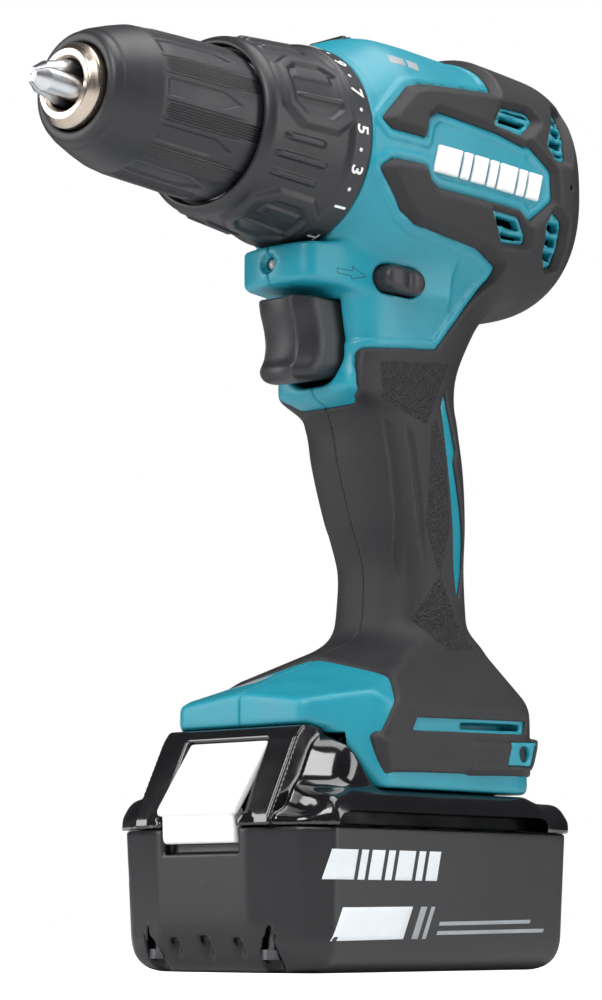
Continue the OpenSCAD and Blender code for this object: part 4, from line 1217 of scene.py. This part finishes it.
shell("case_lower_shell", "battery", "gloss_black",
      skin(lower_case, case_low, case_high, 0.8), "battery_lower_case", "satin_black")
shell("case_upper_shell", "battery", "gloss_black",
      skin(upper_case, deck_low - 1, deck_high + 1, 0.7), "battery_upper_case")
shell("button_plate", "release_body", "white_plastic",
      skin(button_shape, button_low - 1, button_high + 1, 0.45), "release_button")


def case_wall(x, y, z):
    """The lower case's plan with its draft only, for laying prints on."""
    return PLAN(x, y) + 0.05 * (SEAM_Z - z)


def printed(outlines):
    """Flat prints on both sides of the lower case, one for each outline."""
    return both_sides([plaque(c, case_wall, 0.12, 0.05, sink=0.2) for c in outlines])


piece("case_print", "battery", "white_plastic", *printed(
    slanted_bars(-48.6, 23.6, 31.2, (9.5, 2.6, 5.0, 2.6, 6.6, 2.6, 4.6), 1.5, 1.5)
    + [[(-46.6, 8.2), (-19.0, 8.6), (-15.4, 16.9), (-42.8, 16.6)]]), look="white_print")
piece("case_stripes", "battery", "white_plastic", *printed((
    [(-15.6, 8.6), (-13.2, 8.6), (-9.6, 16.9), (-12.0, 16.9)],
    [(-11.4, 8.6), (-9.9, 8.6), (-6.3, 16.9), (-7.8, 16.9)],
    [(-5.5, 9.6), (40.0, 10.2), (40.4, 11.2), (-5.1, 10.6)],
    [(-4.6, 12.0), (34.0, 12.6), (34.4, 13.6), (-4.2, 13.0)])), look="grey_print")


# ------------------------------------------------------------------ floor, light, sky

floor_mesh = bpy.data.meshes.new("floor")
floor_mesh.from_pydata([(-3, -3, 0), (3, -3, 0), (3, 3, 0), (-3, 3, 0)], [], [(0, 1, 2, 3)])
floor_material = bpy.data.materials.new("floor_white")
floor_material.use_nodes = True
shader = floor_material.node_tree.nodes["Principled BSDF"]
shader.inputs["Base Color"].default_value = (0.95, 0.95, 0.95, 1)
shader.inputs["Roughness"].default_value = 0.8
shader.inputs["Emission Color"].default_value = (1, 1, 1, 1)
tree = floor_material.node_tree
tree.links.new(tree.nodes.new("ShaderNodeLightPath").outputs["Is Camera Ray"],
               shader.inputs["Emission Strength"])
floor_mesh.materials.append(floor_material)
floor = scene_object("floor", floor_mesh)

world = bpy.data.worlds.new("studio")
bpy.context.scene.world = world
world.use_nodes = True
tree = world.node_tree
tree.nodes.clear()
output = tree.nodes.new("ShaderNodeOutputWorld")
seen, lit = (tree.nodes.new("ShaderNodeBackground") for _ in range(2))
for sky, colour, strength in ((seen, (1, 1, 1, 1), 1.0), (lit, (0.93, 0.96, 1.0, 1), 0.07)):
    sky.inputs["Color"].default_value = colour
    sky.inputs["Strength"].default_value = strength
path = tree.nodes.new("ShaderNodeLightPath")
mix = tree.nodes.new("ShaderNodeMixShader")
tree.links.new(path.outputs["Is Camera Ray"], mix.inputs[0])
tree.links.new(lit.outputs[0], mix.inputs[1])
tree.links.new(seen.outputs[0], mix.inputs[2])
tree.links.new(mix.outputs[0], output.inputs["Surface"])


LIGHTS_AIM = Vector((0, 0, 0.14))
for name, place, size, power in (
        ("key_left", (-0.75, -0.35, 0.75), (0.5, 0.5), 8.0),
        ("overhead", (0.1, -0.25, 1.0), (0.8, 0.6), 7.0),
        ("fill_right", (0.55, -0.85, 0.35), (0.35, 0.9), 4.6),
        ("back_left", (-0.7, 0.6, 0.45), (0.3, 0.8), 5.0)):
    softbox = bpy.data.lights.new(name, "AREA")
    softbox.shape = "RECTANGLE"
    softbox.size, softbox.size_y = size
    softbox.energy = power
    lamp = scene_object(name, softbox)
    lamp.matrix_world = Matrix.Translation(place) @ (LIGHTS_AIM - Vector(place)).to_track_quat(
        "-Z", "Y").to_matrix().to_4x4()
